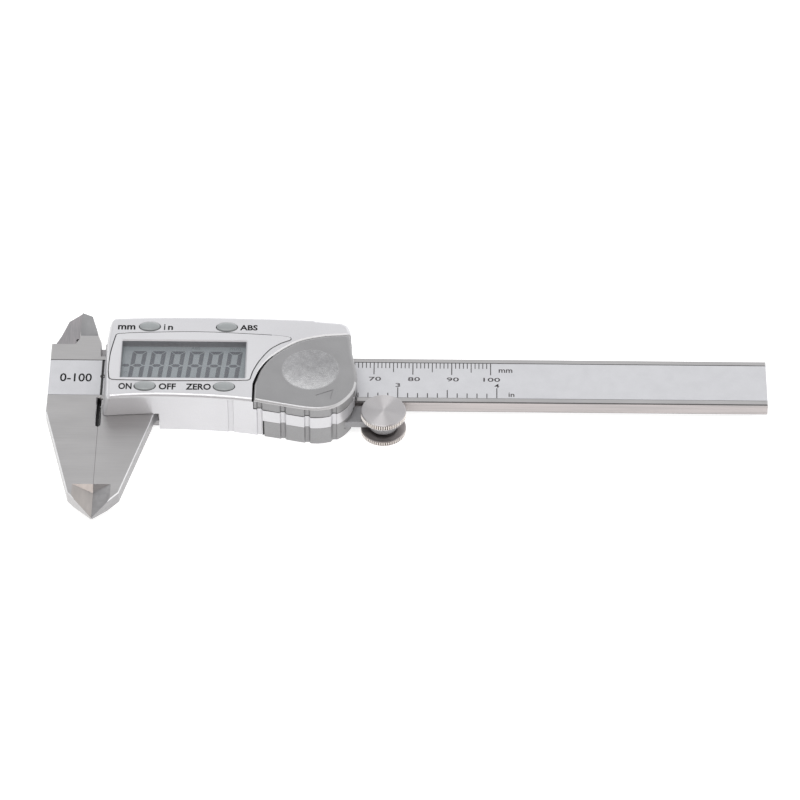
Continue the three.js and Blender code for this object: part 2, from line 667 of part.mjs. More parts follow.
add('housing_cover', housingCover(), SILVER);
add('display_bezel', displayBezel(), SILVER);
add('battery_contact_negative', box(CELL.x - 6, CELL.x + 6, CELL.y - 1.2, CELL.y + 1.2,
  BAY.floor + 0.03, CELL.bottom - 0.05), COPPER);
add('battery_contact_positive', box(CELL.x - BAY.r + 0.1, CELL.x - CELL.r - 0.1, CELL.y - 1,
  CELL.y + 1, BAY.floor + 0.1, 5.1), COPPER);
add('battery', turned(CELL.x, CELL.y, [[0, CELL.bottom], [CELL.r - 1, CELL.bottom],
  [CELL.r - 0.2, CELL.bottom + 0.4], [CELL.r, CELL.bottom + 0.6],
  [CELL.r, CELL.bottom + CELL.thick], [0, CELL.bottom + CELL.thick]], 40), STEEL);
add('battery_seal', ring(CELL.x, CELL.y, CELL.r + 0.05, BAY.r - 0.05, 5.25, 5.8, 40), BLACK);
add('battery_cover', batteryCover(), GREY);

add('grip_base', gripBase(), GREY);
add('bracket_screw', bracketScrew(), DARK_STEEL);
add('roller_bracket', rollerBracket(), GREY);
add('roller_wave_washer', ring(ROLLER.x, ROLLER.y, 1.7, 3.2, -3.82, -3.45, 24), DARK_STEEL);
add('roller_axle', rollerAxle(), DARK_STEEL);
add('roller_disc_upper', rollerDiscUpper(), STEEL);
add('roller_disc_lower', rollerDiscLower(), STEEL);
add('roller_screw', rollerScrew(), DARK_STEEL);

// The part's origin: middle of the footprint, on the surface the caliper lies on.
const caliper = new THREE.Group();
gauge.position.set(-(BEAM.left + BEAM.right) / 2, -(JAW.tip + 25.5) / 2, -BACK);
caliper.add(gauge);

export default caliper;
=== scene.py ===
"""Looks of a digital caliper with a thumb roller and a sliding battery cover.

Every piece is drawn in the gauge frame, in millimetres: X = 0 is the closed jaw seam, Y = 0 the
beam's centre line and Z = 0 the beam's front face. place() then moves it into the shared frame.
"""

import math

import bmesh
import bpy
from mathutils import Matrix, Vector


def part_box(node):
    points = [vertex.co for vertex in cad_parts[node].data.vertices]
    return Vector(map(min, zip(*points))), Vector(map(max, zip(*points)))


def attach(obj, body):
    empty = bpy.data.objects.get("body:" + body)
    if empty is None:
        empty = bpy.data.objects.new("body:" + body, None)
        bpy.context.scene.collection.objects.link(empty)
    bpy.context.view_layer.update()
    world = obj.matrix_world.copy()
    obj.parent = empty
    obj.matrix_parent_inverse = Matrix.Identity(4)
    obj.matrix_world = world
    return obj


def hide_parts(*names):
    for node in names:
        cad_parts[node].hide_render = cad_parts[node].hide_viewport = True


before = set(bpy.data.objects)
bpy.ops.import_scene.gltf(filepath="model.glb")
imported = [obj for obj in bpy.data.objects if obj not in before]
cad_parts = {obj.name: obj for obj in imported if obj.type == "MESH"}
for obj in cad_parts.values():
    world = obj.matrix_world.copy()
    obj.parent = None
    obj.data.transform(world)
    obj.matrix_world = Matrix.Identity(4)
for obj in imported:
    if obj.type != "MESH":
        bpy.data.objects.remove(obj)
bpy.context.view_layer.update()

MM = 0.001
BEAM_LEFT, JAW_TIP = -13.57, -48.85
BEAM_LOW, BEAM_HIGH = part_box("beam")
ORIGIN = Vector((BEAM_LOW.x - BEAM_LEFT * MM, BEAM_LOW.y - JAW_TIP * MM, BEAM_HIGH.z))
GAUGE = Matrix.Translation(ORIGIN) @ Matrix.Scale(MM, 4)

# ---------------- driving dimensions

BEAM_RIGHT, BEAM_HALF, BEAM_THICK = 170.93, 8, 3.5
LABEL_HALF, LABEL_DEPTH, LABEL_TOP = 6.4, 0.75, -0.05
JAW_CORNER, SEAM = (6.5, -41.4), 0.012
KNIFE_TOP, KNIFE_WALL, KNIFE_DEPTH = -38.45, 1.35, 1.5
BACK, TOP = -5.5, 7
WALL, CEILING = 1.3, 5.4
SPLIT_LOW, SPLIT_HIGH = 0.1, 3.8
WINDOW = (5.25, 37.25, -6.95, 6.55)
LCD_TOP = 4.9
BUTTONS = {"unit": (12.1, 11.8), "abs": (31.95, 11.8), "power": (11.8, -10.1), "zero": (32, -10.1)}
BUTTON_RX, BUTTON_RY, BUTTON_TOP = 2.8, 1.75, 7.5
CELL_X, CELL_Y = 53.6, -2.95
BAY_R, BAY_RING, BAY_FRONT = 10.3, 11, -13.4
DIMPLE_X, DIMPLE_Y, DIMPLE_R, DIMPLE_DEPTH = 53.9, -3.75, 7.3, 0.7
COVER_LOW, COVER_TOP = 5.9, 7.1
FLUTES = (41.1, 47.1, 53.3, 60.3)
FLUTE_WIDTH, FLUTE_DEPTH = 1.35, 0.55
ROLLER_X, ROLLER_Y, ROLLER_R = 72.65, -13.1, 5.8
ROLLER_AT = (ROLLER_X, ROLLER_Y)
ARM_SCREW, ROD_PIN_X, STOP_SCREWS = (59.5, -14.3), 60.5, (-4, 4)
SLOT = (0.85, 0.17)
JAW_EDGE, LID_WALL = 0.24, 1.1
KEY_GAP, KEY_DOME = 0.17, 7.05
PRINT_THICK, FIGURE_WEIGHT, WORD_WEIGHT = 0.02, 0.008, 0.012
GRIP_LEFT, SHADE_SHEET_LEFT = 42.3, 41.9
FLOOR_GAP = 0.0001
PLATE_LOW, PLATE_HIGH = -4.6, -3.6
HOUSING_SCREWS = ((5.6, 9.9), (5.6, -9.9), (60.5, 9.9), (60.5, -9.9))
STOP_LEFT, STOP_RIGHT, STOP_HALF, STOP_LOW = 163.8, 169.3, 5.5, -4.5
STOP_X = (STOP_LEFT + STOP_RIGHT) / 2

# ---------------- outlines


def smooth(points, divisions):
    """Points along a Catmull-Rom curve through the given ones, ends included."""
    out, last = [], len(points) - 1
    for step in range(divisions + 1):
        place_on = last * step / divisions
        i = min(int(place_on), last - 1)
        t = place_on - i
        a, b = points[max(i - 1, 0)], points[i]
        c, d = points[i + 1], points[min(i + 2, last)]
        out.append(tuple(
            b[k] + t * (c[k] - a[k]) / 2
            + t * t * (-1.5 * b[k] + 1.5 * c[k] - c[k] + a[k]
                       - (d[k] - b[k]) / 2 + 1.5 * (c[k] - b[k]))
            + t ** 3 * (2 * b[k] - 2 * c[k] + (c[k] - a[k]) / 2 + (d[k] - b[k]) / 2)
            for k in (0, 1)))
    return out


def filleted(points, steps=6):
    """An outline whose corners given as (x, y, radius) are rounded."""
    out = []
    for i, point in enumerate(points):
        if len(point) == 2:
            out.append(point)
            continue
        here = Vector(point[:2])
        before = Vector(points[i - 1][:2]) - here
        after = Vector(points[(i + 1) % len(points)][:2]) - here
        half = before.angle(after) / 2
        reach = min(point[2] / math.tan(half), 0.49 * before.length, 0.49 * after.length)
        radius = reach * math.tan(half)
        bisector = (before.normalized() + after.normalized()).normalized()
        centre = here + bisector * (radius / math.sin(half))
        start = here + before.normalized() * reach - centre
        end = here + after.normalized() * reach - centre
        turn = start.angle_signed(end)
        for k in range(steps + 1):
            spoke = Matrix.Rotation(-turn * k / steps, 2) @ start
            out.append(tuple(centre + spoke))
    return out


def inset(points, d):
    """A counter-clockwise outline moved inwards by d, or outwards if d is negative."""
    out = []
    for i, point in enumerate(points):
        here = Vector(point)
        a = (here - Vector(points[i - 1])).normalized()
        b = (Vector(points[(i + 1) % len(points)]) - here).normalized()
        normal = Vector((-a.y - b.y, a.x + b.x)).normalized()
        reach = d / max(0.5, normal.x * -a.y + normal.y * a.x)
        out.append(tuple(here + normal * reach))
    return out


def rectangle(x0, x1, y0, y1, radius=0.0):
    corners = [(x0, y0), (x1, y0), (x1, y1), (x0, y1)]
    return filleted([(*c, radius) for c in corners], 4) if radius else corners


def circle(x, y, rx, ry=None, sides=64):
    ry = ry or rx
    turns = [2 * math.pi * i / sides for i in range(sides)]
    return [(x + rx * math.cos(t), y + ry * math.sin(t)) for t in turns]


# ---------------- solids


STAND_INS = [bpy.data.materials.new(f"stand_in_{i}") for i in range(4)]


def link(obj):
    bpy.context.scene.collection.objects.link(obj)
    return obj


def new_object(mesh_data):
    """An object that carries four material slots, so that booleans keep each face's index."""
    bmesh.ops.recalc_face_normals(mesh_data, faces=mesh_data.faces)
    mesh = bpy.data.meshes.new("solid")
    for stand_in in STAND_INS:
        mesh.materials.append(stand_in)
    mesh_data.to_mesh(mesh)
    mesh_data.free()
    return link(bpy.data.objects.new("solid", mesh))


def solid(rings, index=0, closed=False):
    """A solid through rings of points: capped at both ends, or closed on itself."""
    made = bmesh.new()
    loops = [[made.verts.new(p) for p in ring] for ring in rings]
    if not closed:
        made.faces.new(loops[0][::-1])
        made.faces.new(loops[-1])
    for low, high in zip(loops, loops[1:] + (loops[:1] if closed else [])):
        for i in range(len(low)):
            j = (i + 1) % len(low)
            made.faces.new((low[i], low[j], high[j], high[i]))
    for face in made.faces:
        face.material_index = index
    return new_object(made)


def level(points, z):
    return [(x, y, z) for x, y in points]


def rounding(radius, steps):
    """(inset, drop) pairs of a quarter round, from the wall to the face."""
    angles = [math.pi / 2 * i / steps for i in range(steps + 1)]
    return [(radius * (1 - math.cos(a)), radius * (1 - math.sin(a))) for a in angles]


def plate(outline, z0, z1, top=0.0, bottom=0.0, steps=4, index=0, shrink=inset):
    """A plate with its upper and lower edges rounded."""
    lower, upper = [level(outline, z0)], [level(outline, z1)]
    if bottom:
        lower = [level(shrink(outline, d), z0 + drop)
                 for d, drop in reversed(rounding(bottom, steps))]
    if top:
        upper = [level(shrink(outline, d), z1 - drop) for d, drop in rounding(top, steps)]
    return solid(lower + upper, index)


def hole(outline, z0, z1, flare=0.0, index=0, lip=0):
    """A cutter that opens through the surface at z1, its mouth chamfered by flare."""
    over = 0.6
    made = solid([level(outline, z0), level(outline, z1 - flare), level(inset(outline, -flare -
        over), z1 + over), level(inset(outline, -flare - over), z1 + 3)], index)
    for face in made.data.polygons:
        if face.center.z > z1 - flare:
            face.material_index = lip
    return made


def bevelled(obj, index):
    """Puts the slanted faces along the jaws' edges on the given index, which both callers fill
    with a near-white steel: a painted highlight along the bevels.
    """
    for face in obj.data.polygons:
        if 0.2 < abs(face.normal.z) < 0.95 and face.center.y < -12.2:
            face.material_index = index
    return obj


def box(x0, x1, y0, y1, z0, z1, index=0):
    return plate(rectangle(x0, x1, y0, y1), z0, z1, index=index)


def prism(outline, axis, start, end, index=0):
    """An outline extruded along X (its points are Y, Z) or along Y (its points are X, Z)."""
    if axis == "X":
        rings = [[(w, u, v) for u, v in outline] for w in (start, end)]
    else:
        rings = [[(u, w, v) for u, v in outline] for w in (start, end)]
    return solid(rings, index)


def turned(x, y, profile, sides=64, index=0, closed=False):
    """A turned solid: profile points are (radius, z), from the bottom up."""
    return solid([level(circle(x, y, r, sides=sides), z) for r, z in profile], index, closed)


def cylinder(x, y, r, z0, z1, sides=24, index=0):
    return turned(x, y, [(r, z0), (r, z1)], sides, index)


def cross(x, y, long, short, radius, z0, z1, *edge, index=0):
    """The two bars of a cross, for a screw's slots or the mark on a cell."""
    return [plate(rectangle(x - a, x + a, y - b, y + b, radius), z0, z1, *edge, steps=2,
                  index=index) for a, b in ((long, short), (short, long))]


def evaluated(obj):
    """A mesh of the object as its modifiers or its text make it."""
    bpy.context.view_layer.update()
    graph = bpy.context.evaluated_depsgraph_get()
    return bpy.data.meshes.new_from_object(obj.evaluated_get(graph))


def combine(body, tools, operation):
    """Applies boolean tools to body, in order, and removes them."""
    for tool in tools:
        step = body.modifiers.new("step", "BOOLEAN")
        step.object = tool
        step.operation = operation
        step.solver = "MANIFOLD"
        step.material_mode = "INDEX"
    mesh = evaluated(body)
    body.modifiers.clear()
    body.data = mesh
    for tool in tools:
        bpy.data.objects.remove(tool)
    return body


def cut(body, *tools):
    return combine(body, tools, "DIFFERENCE")


def join(body, *tools):
    return combine(body, tools, "UNION")


def meet(body, *tools):
    return combine(body, tools, "INTERSECT")


def together(objects):
    """One object from several that don't cross each other."""
    made = bmesh.new()
    for obj in objects:
        made.from_mesh(obj.data)
        bpy.data.objects.remove(obj)
    return new_object(made)


def lettering(words, x0, x1, y0, y1, z, weight=0.0, thick=PRINT_THICK):
    """A word as a thin raised print that fills the given rectangle."""
    curve = bpy.data.curves.new("words", "FONT")
    curve.body = words
    curve.offset = weight
    curve.resolution_u = 3
    text = link(bpy.data.objects.new("words", curve))
    mesh = evaluated(text)
    bpy.data.objects.remove(text)
    made = bmesh.new()
    made.from_mesh(mesh)
    bmesh.ops.remove_doubles(made, verts=made.verts, dist=1e-5)
    low = [min(v.co[k] for v in made.verts) for k in (0, 1)]
    high = [max(v.co[k] for v in made.verts) for k in (0, 1)]
    scale = ((x1 - x0) / (high[0] - low[0]), (y1 - y0) / (high[1] - low[1]))
    grown = bmesh.ops.extrude_face_region(made, geom=made.faces[:])
    raised = {v for v in grown["geom"] if isinstance(v, bmesh.types.BMVert)}
    for vert in made.verts:
        vert.co = (x0 + (vert.co.x - low[0]) * scale[0], y0 + (vert.co.y - low[1]) * scale[1],
                   z + (thick if vert in raised else 0))
    return new_object(made)


# ---------------- materials


def new_material(name, color, roughness, metallic=0.0, **sockets):
    made = bpy.data.materials.new(name)
    made.use_nodes = True
    tree = made.node_tree
    shader = tree.nodes["Principled BSDF"]
    shader.inputs["Base Color"].default_value = (*color, 1)
    shader.inputs["Roughness"].default_value = roughness
    shader.inputs["Metallic"].default_value = metallic
    for key, value in sockets.items():
        shader.inputs[key.replace("_", " ")].default_value = value
    return made


def node(tree, kind, settings=(), **inputs):
    """A shader node with settings, its inputs set to values or linked from sockets."""
    made = tree.nodes.new("ShaderNode" + kind)
    for key, value in dict(settings).items():
        setattr(made, key, value)
    for key, value in inputs.items():
        socket = made.inputs[int(key[1:])] if key[0] == "i" and key[1:].isdigit() \
            else made.inputs[key.replace("_", " ")]
        if isinstance(value, bpy.types.NodeSocket):
            tree.links.new(value, socket)
        else:
            socket.default_value = value
    return made


def noise(tree, stretch, detail=4.0, rough=0.6):
    """Noise in the piece's own metres; stretch is its frequency, or one each for X, Y and Z."""
    scale = stretch if isinstance(stretch, tuple) else (stretch,) * 3
    where = node(tree, "TexCoord").outputs["Object"]
    mapped = node(tree, "Mapping", Vector=where, Scale=scale).outputs["Vector"]
    return node(tree, "TexNoise", Vector=mapped, Scale=1.0, Detail=detail,
                Roughness=rough).outputs["Fac"]


def ranged(tree, value, low, high, start=0.3, end=0.7):
    return node(tree, "MapRange", Value=value, From_Min=start, From_Max=end, To_Min=low,
                To_Max=high).outputs["Result"]


def blend(tree, factor, a, b):
    """A colour between a and b."""
    return node(tree, "Mix", {"data_type": "RGBA"}, i0=factor, i6=a if isinstance(a,
        bpy.types.NodeSocket) else (*a, 1), i7=b if isinstance(b, bpy.types.NodeSocket) else (*b,
        1)).outputs[2]


def textured(name, color, roughness, grain, blotch, metallic=0.0, tone=0.06, rough_span=0.08,
             bump=0.1, depth=0.02, warm=None, **sockets):
    """A finish with a fine grain and wide blotches in its colour, roughness and relief."""
    made = new_material(name, color, roughness, metallic, **sockets)
    tree = made.node_tree
    shader = tree.nodes["Principled BSDF"]
    fine = noise(tree, grain)
    wide = noise(tree, blotch, 2.0)
    dark = tuple(c * (1 - tone) for c in color)
    light = tuple(min(1.0, c * (1 + tone)) for c in (warm or color))
    shade = node(tree, "Math", {"operation": "MULTIPLY_ADD"}, i0=fine, i1=0.6, i2=0.0).outputs[0]
    mixed = node(tree, "Math", {"operation": "MULTIPLY_ADD"}, i0=wide, i1=0.4, i2=shade).outputs[0]
    factor = ranged(tree, mixed, 0.0, 1.0, 0.38, 0.62)
    tree.links.new(blend(tree, factor, dark, light), shader.inputs["Base Color"])
    tree.links.new(ranged(tree, wide, roughness - rough_span / 2, roughness + rough_span / 2),
                   shader.inputs["Roughness"])
    relief = node(tree, "Bump", Strength=bump, Distance=depth * MM, Height=fine)
    tree.links.new(relief.outputs["Normal"], shader.inputs["Normal"])
    return made


STEEL = textured("ground_steel", (0.475, 0.468, 0.468), 0.36, (120, 4200, 1500), (60, 220, 260),
    1.0, 0.045, 0.1, 0.2, 0.015)
KNIFE = textured("lapped_steel", (0.44, 0.415, 0.40), 0.34, (700, 120, 2400), (220, 160, 220), 1.0,
    0.05, 0.10, 0.15, 0.015, (0.46, 0.43, 0.41))
RAIL_EDGE_SHADE = textured("steel_painted_rail_edge_shade", (0.15, 0.148, 0.15), 0.5, 900, 200, 1.0, 0.08, 0.08, 0.1, 0.01)
MILLED = textured("milled_side_steel", (0.45, 0.425, 0.42), 0.38, (40, 900, 3600), (30, 200, 700),
    1.0, 0.10, 0.1, 0.25, 0.015, (0.47, 0.435, 0.43))
LAPPED = textured("warm_lapped_steel", (0.50, 0.455, 0.43), 0.42, (900, 300, 900), (260, 160, 260),
    1.0, 0.06, 0.08, 0.1, 0.01)
SAWN = textured("milled_steel", (0.35, 0.345, 0.355), 0.42, (3600, 260, 900), (300, 90, 200), 1.0,
    0.10, 0.1, 0.25, 0.02, (0.37, 0.35, 0.36))
PLATED = textured("plated_sheet", (0.58, 0.58, 0.59), 0.42, (40, 2200, 900), 80, 1.0, 0.05, 0.1,
    0.2, 0.02)
HONED = textured("honed_steel", (0.29, 0.29, 0.295), 0.42, (900, 300, 900), 160, 1.0, 0.05, 0.08,
    0.15, 0.015)
FLANK = textured("sawn_flank_steel", (0.36, 0.355, 0.36), 0.42, (300, 900, 2600), (90, 160, 300),
    1.0, 0.08, 0.1, 0.2, 0.015)
# Near-white steel on the jaws' bevels: painted highlight.
EDGE_HIGHLIGHT = textured("steel_painted_edge_highlight", (0.86, 0.86, 0.87), 0.3, 900, 200, 1.0, 0.05, 0.08, 0.1,
    0.01)
SCREW_STEEL = textured("zinc_screw", (0.55, 0.55, 0.56), 0.38, 900, 300, 1.0, 0.1, 0.12, 0.15,
    0.02)
HOUSING = textured("satin_silver_paint", (0.66, 0.66, 0.68), 0.32, 4200, 70, 0.42, 0.03, 0.05,
    0.10, 0.01, Coat_Weight=0.35, Coat_Roughness=0.24)
LIP_HIGHLIGHT = textured("silver_lip_painted_highlight", (0.95, 0.95, 0.96), 0.4, 4200, 70, 0.0, 0.02, 0.05, 0.05,
    0.01)
BEZEL = textured("satin_bezel_paint", (0.69, 0.69, 0.71), 0.32, 4200, 60, 0.4, 0.025, 0.05, 0.08,
    0.01, Coat_Weight=0.3, Coat_Roughness=0.18)
GREY = textured("moulded_grey", (0.305, 0.305, 0.311), 0.38, 4200, 110, 0.35, 0.09, 0.08, 0.35,
    0.025, Coat_Weight=0.25, Coat_Roughness=0.3)
STIPPLE = textured("stippled_grey", (0.42, 0.42, 0.427), 0.26, 3800, 700, 0.8, 0.16, 0.04, 0.9,
    0.05)
GREY_EDGE_HIGHLIGHT = textured("grey_edge_painted_highlight", (0.56, 0.56, 0.568), 0.36, 4200, 110, 0.35, 0.06, 0.08,
    0.2, 0.015, Coat_Weight=0.3, Coat_Roughness=0.3)
CAST = textured("cast_grey", (0.31, 0.31, 0.32), 0.42, 3000, 200, 0.4, 0.08, 0.1, 0.3, 0.02)
RUBBER = textured("key_rubber", (0.32, 0.34, 0.345), 0.34, 2600, 200, 0.0, 0.05, 0.08, 0.15, 0.01,
    Coat_Weight=0.25, Coat_Roughness=0.2)
FOIL = textured("scale_foil", (0.62, 0.625, 0.648), 0.45, 4800, 300, 0.4, 0.04, 0.06, 0.25, 0.01)
INK = textured("black_ink", (0.006, 0.006, 0.007), 0.5, 2500, 500, 0.0, 0.3, 0.1, 0.1, 0.005,
    Specular_IOR_Level=0.15)
FINE_INK = textured("grey_ink", (0.055, 0.05, 0.052), 0.5, 2500, 500, 0.0, 0.2, 0.1, 0.1, 0.005,
    Specular_IOR_Level=0.2)
LCD = textured("lcd_glass", (0.218, 0.246, 0.266), 0.35, 3000, 60, 0.0, 0.025, 0.04, 0.03, 0.005)
SEGMENT = textured("lcd_segment", (0.036, 0.043, 0.06), 0.35, 3000, 200, 0.0, 0.04, 0.04, 0.03,
    0.005)
FAINT = textured("lcd_faint_mark", (0.115, 0.134, 0.152), 0.35, 3000, 200, 0.0, 0.04, 0.04, 0.03,
    0.005)
LINING_AND_SHADE = textured("window_lining_and_shade", (0.27, 0.275, 0.295), 0.55, 900, 90, 0.0, 0.1, 0.1, 0.15, 0.01)
# Black for the measuring chip and the grating strip. The same black is also painted shade in
# slots, gaps, recesses and the insides of hollow parts.
BLACK_AND_SHADE = textured("black_plastic", (0.03, 0.03, 0.032), 0.5, 1800, 300, 0.0, 0.15, 0.1, 0.2, 0.02)
SOFT = textured("black_rubber", (0.025, 0.025, 0.026), 0.7, 2400, 300, 0.0, 0.2, 0.1, 0.35, 0.03)
FELT = textured("wiper_felt", (0.05, 0.05, 0.052), 0.95, (5200, 5200, 2600), 700, 0.0, 0.35, 0.04,
    1.0, 0.12, Sheen_Weight=0.5)
BRASS = textured("spring_brass", (0.70, 0.52, 0.26), 0.3, (80, 2400, 900), 200, 1.0, 0.1, 0.12,
    0.2, 0.02)
BOARD = textured("solder_mask", (0.03, 0.13, 0.07), 0.35, 1500, 300, 0.0, 0.2, 0.1, 0.15, 0.02,
    Coat_Weight=0.4)
CELL = textured("battery_can", (0.66, 0.65, 0.63), 0.25, (120, 2200, 900), 150, 1.0, 0.06, 0.12,
    0.15, 0.015)
KNURL = textured("knurled_steel", (0.80, 0.77, 0.745), 0.3, (900, 900, 500), 350, 1.0, 0.08, 0.12,
    0.15, 0.02, (0.80, 0.75, 0.71))
GROOVE_SHADE = textured("knurl_groove_painted_shade", (0.33, 0.295, 0.27), 0.5, (1500, 1500, 700), 350, 1.0, 0.3, 0.12,
    0.15, 0.02)
LENS = new_material("clear_window", (0.9, 0.92, 0.93), 0.04, 0.0, Alpha=0.06, IOR=1.49)


def spun_steel():
    """A faced disc: rings of fine tool marks and a highlight that fans round the centre."""
    made = new_material("spun_steel", (0.55, 0.536, 0.542), 0.42, 1.0, Anisotropic=0.9,
        Anisotropic_Rotation=0.25)
    tree = made.node_tree
    shader = tree.nodes["Principled BSDF"]
    tangent = node(tree, "Tangent", {"direction_type": "RADIAL", "axis": "Z"})
    tree.links.new(tangent.outputs["Tangent"], shader.inputs["Tangent"])
    where = node(tree, "TexCoord").outputs["Generated"]
    middle = node(tree, "Mapping", Vector=where, Location=(-0.5, -0.5, 0)).outputs["Vector"]
    rings = node(tree, "TexWave", {"wave_type": "RINGS", "rings_direction": "Z"}, Vector=middle,
                 Scale=26.0, Distortion=0.6, Detail=2.0).outputs["Fac"]
    tree.links.new(blend(tree, rings, (0.52, 0.507, 0.513), (0.595, 0.58, 0.587)),
                   shader.inputs["Base Color"])
    relief = node(tree, "Bump", Strength=0.12, Distance=0.01 * MM, Height=rings)
    tree.links.new(relief.outputs["Normal"], shader.inputs["Normal"])
    return made


SPUN = spun_steel()


def place(obj, name, body, materials, replaces=(), angle=35):
    """Finishes a piece: shared frame, shading, materials, and the body it rides on."""
    obj.name = obj.data.name = name
    obj.data.transform(GAUGE)
    finishes = materials if isinstance(materials, list) else [materials]
    indexes = [min(face.material_index, len(finishes) - 1) for face in obj.data.polygons]
    obj.data.materials.clear()
    for made in finishes:
        obj.data.materials.append(made)
    obj.data.polygons.foreach_set("material_index", indexes)
    obj.data.shade_smooth()
    obj.data.set_sharp_from_angle(angle=math.radians(angle))
    normals = obj.modifiers.new("normals", "WEIGHTED_NORMAL")
    normals.keep_sharp = True
    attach(obj, body)
    if replaces:
        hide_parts(*replaces)
    return obj


def dress(node_name, made):
    """Gives a CAD node that stays its material."""
    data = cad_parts[node_name].data
    data.materials.clear()
    data.materials.append(made)


# ---------------- beam body


def seam_side(side):
    """An inset that leaves the measuring face of a jaw sharp and in its place."""
    def shrink(points, d):
        out = inset(points, d)
        for i, (x, y) in enumerate(points):
            if abs(x - side * SEAM) < 0.005 and y < -16:
                out[i] = (side * (SEAM + min(d, 0.02)), out[i][1])
        return out
    return shrink


def knife_cuts(side, index=1):
    """What is ground off the tip of one outer jaw, front and back."""
    half, wall = (5.35, 1.75) if side < 0 else (4.4, KNIFE_WALL)
    over = -0.5 * side
    lift = KNIFE_DEPTH * 0.5 / half
    made = []
    for face, flip in ((0, 1), (-BEAM_THICK, -1)):
        low = face - flip * 1.1 * KNIFE_DEPTH
        profile = [(side * half, face), (over, face - flip * (KNIFE_DEPTH + lift)),
                   (over, face + flip), (side * half, face + flip)]
        end = [(KNIFE_TOP, face + flip), (KNIFE_TOP, face), (KNIFE_TOP - 1.1 * wall, low),
               (JAW_TIP - 2, low), (JAW_TIP - 2, face + flip)]
        made.append(meet(prism(profile, "Y", JAW_TIP - 1, KNIFE_TOP, index), prism(end, "X", -7, 7,
            index)))
    return made


def make_beam():
    corner_x, corner_y = JAW_CORNER
    jaw = [(BEAM_LEFT, -12.7), (-corner_x, corner_y, 0.8), (-0.13, JAW_TIP), (-SEAM, JAW_TIP),
           (-SEAM, -18), (-0.7, -17.3), (-0.7, -7.3, 0.3), (0.15, -7.3), (0.15, -8)]
    rail = [(BEAM_RIGHT, -BEAM_HALF), (BEAM_RIGHT, BEAM_HALF)]
    blade = [(-0.4, 8), (-0.68, 13), (-1.51, 15.4), (-3.6, 23.7), (-6.4, 25.3), (-6.4, 14.6),
             (-7.5, 12.5), (BEAM_LEFT, 12.5)]
    shrink = seam_side(-1)
    front = bevelled(plate(filleted(jaw + rail + blade), -1.7, 0, JAW_EDGE, shrink=shrink,
        steps=1), 3)
    back = plate(filleted(jaw + rail + [(BEAM_LEFT, BEAM_HALF)]), -BEAM_THICK, -1.69, 0, JAW_EDGE,
                 shrink=shrink, steps=2)
    # A thin black floor under the jaw's relief slot: painted shade, a dark sheet where the slot
    # only lies in shadow.
    shade_sheet = box(-0.75, -0.05, -18, -7.2, -BEAM_THICK + 0.1, -2.6, 2)
    grind = prism([(15.4, 0), (26.3, -1.4), (26.3, 1), (15.4, 1)], "X", -10, 2, 1)
    bed = prism([(-LABEL_HALF, -LABEL_DEPTH), (LABEL_HALF, -LABEL_DEPTH), (LABEL_HALF, -0.1),
        (LABEL_HALF + 0.6, 0.5), (-LABEL_HALF - 0.6, 0.5), (-LABEL_HALF, -0.1)], "X", BEAM_LEFT -
        1, BEAM_RIGHT + 1)
    rod_bed = box(40, BEAM_RIGHT + 1, -1.6, 1.6, -BEAM_THICK - 1, -2)
    holes = [cylinder(STOP_X, y, 0.8, -5, -1.3) for y in STOP_SCREWS]
    body = cut(join(front, back, shade_sheet), grind, bed, rod_bed, *holes, *knife_cuts(-1))
    for face in body.data.polygons:
        in_slot = -0.8 < face.center.x < 0.2 and -18 < face.center.y < -7.2
        # The slot's walls go black: painted shade.
        if in_slot and face.normal.z < 0.5:
            face.material_index = 2
        if face.center.y > 15.4 and face.material_index == 1:
            face.material_index = 4
        if face.normal.y < -0.9 and face.center.y > -9 and face.center.x > 1:
            face.material_index = 5
        if face.material_index == 1 and face.normal.y < -0.4:
            face.material_index = 6
        # The rounded faces along the rails take a dark steel: painted shade on the rail edges.
        if 0.2 < abs(face.normal.z) < 0.95 and abs(abs(face.center.y) - BEAM_HALF) < 0.3:
            face.material_index = 7
        # The walls of the label's recess go black: painted shade along the label's edges.
        if abs(abs(face.center.y) - LABEL_HALF) < 0.1 and abs(face.normal.y) > 0.7:
            face.material_index = 2
    place(body, "beam_ground", "beam_body",
          [STEEL, KNIFE, BLACK_AND_SHADE, EDGE_HIGHLIGHT, HONED, MILLED, LAPPED, RAIL_EDGE_SHADE], ["beam"])


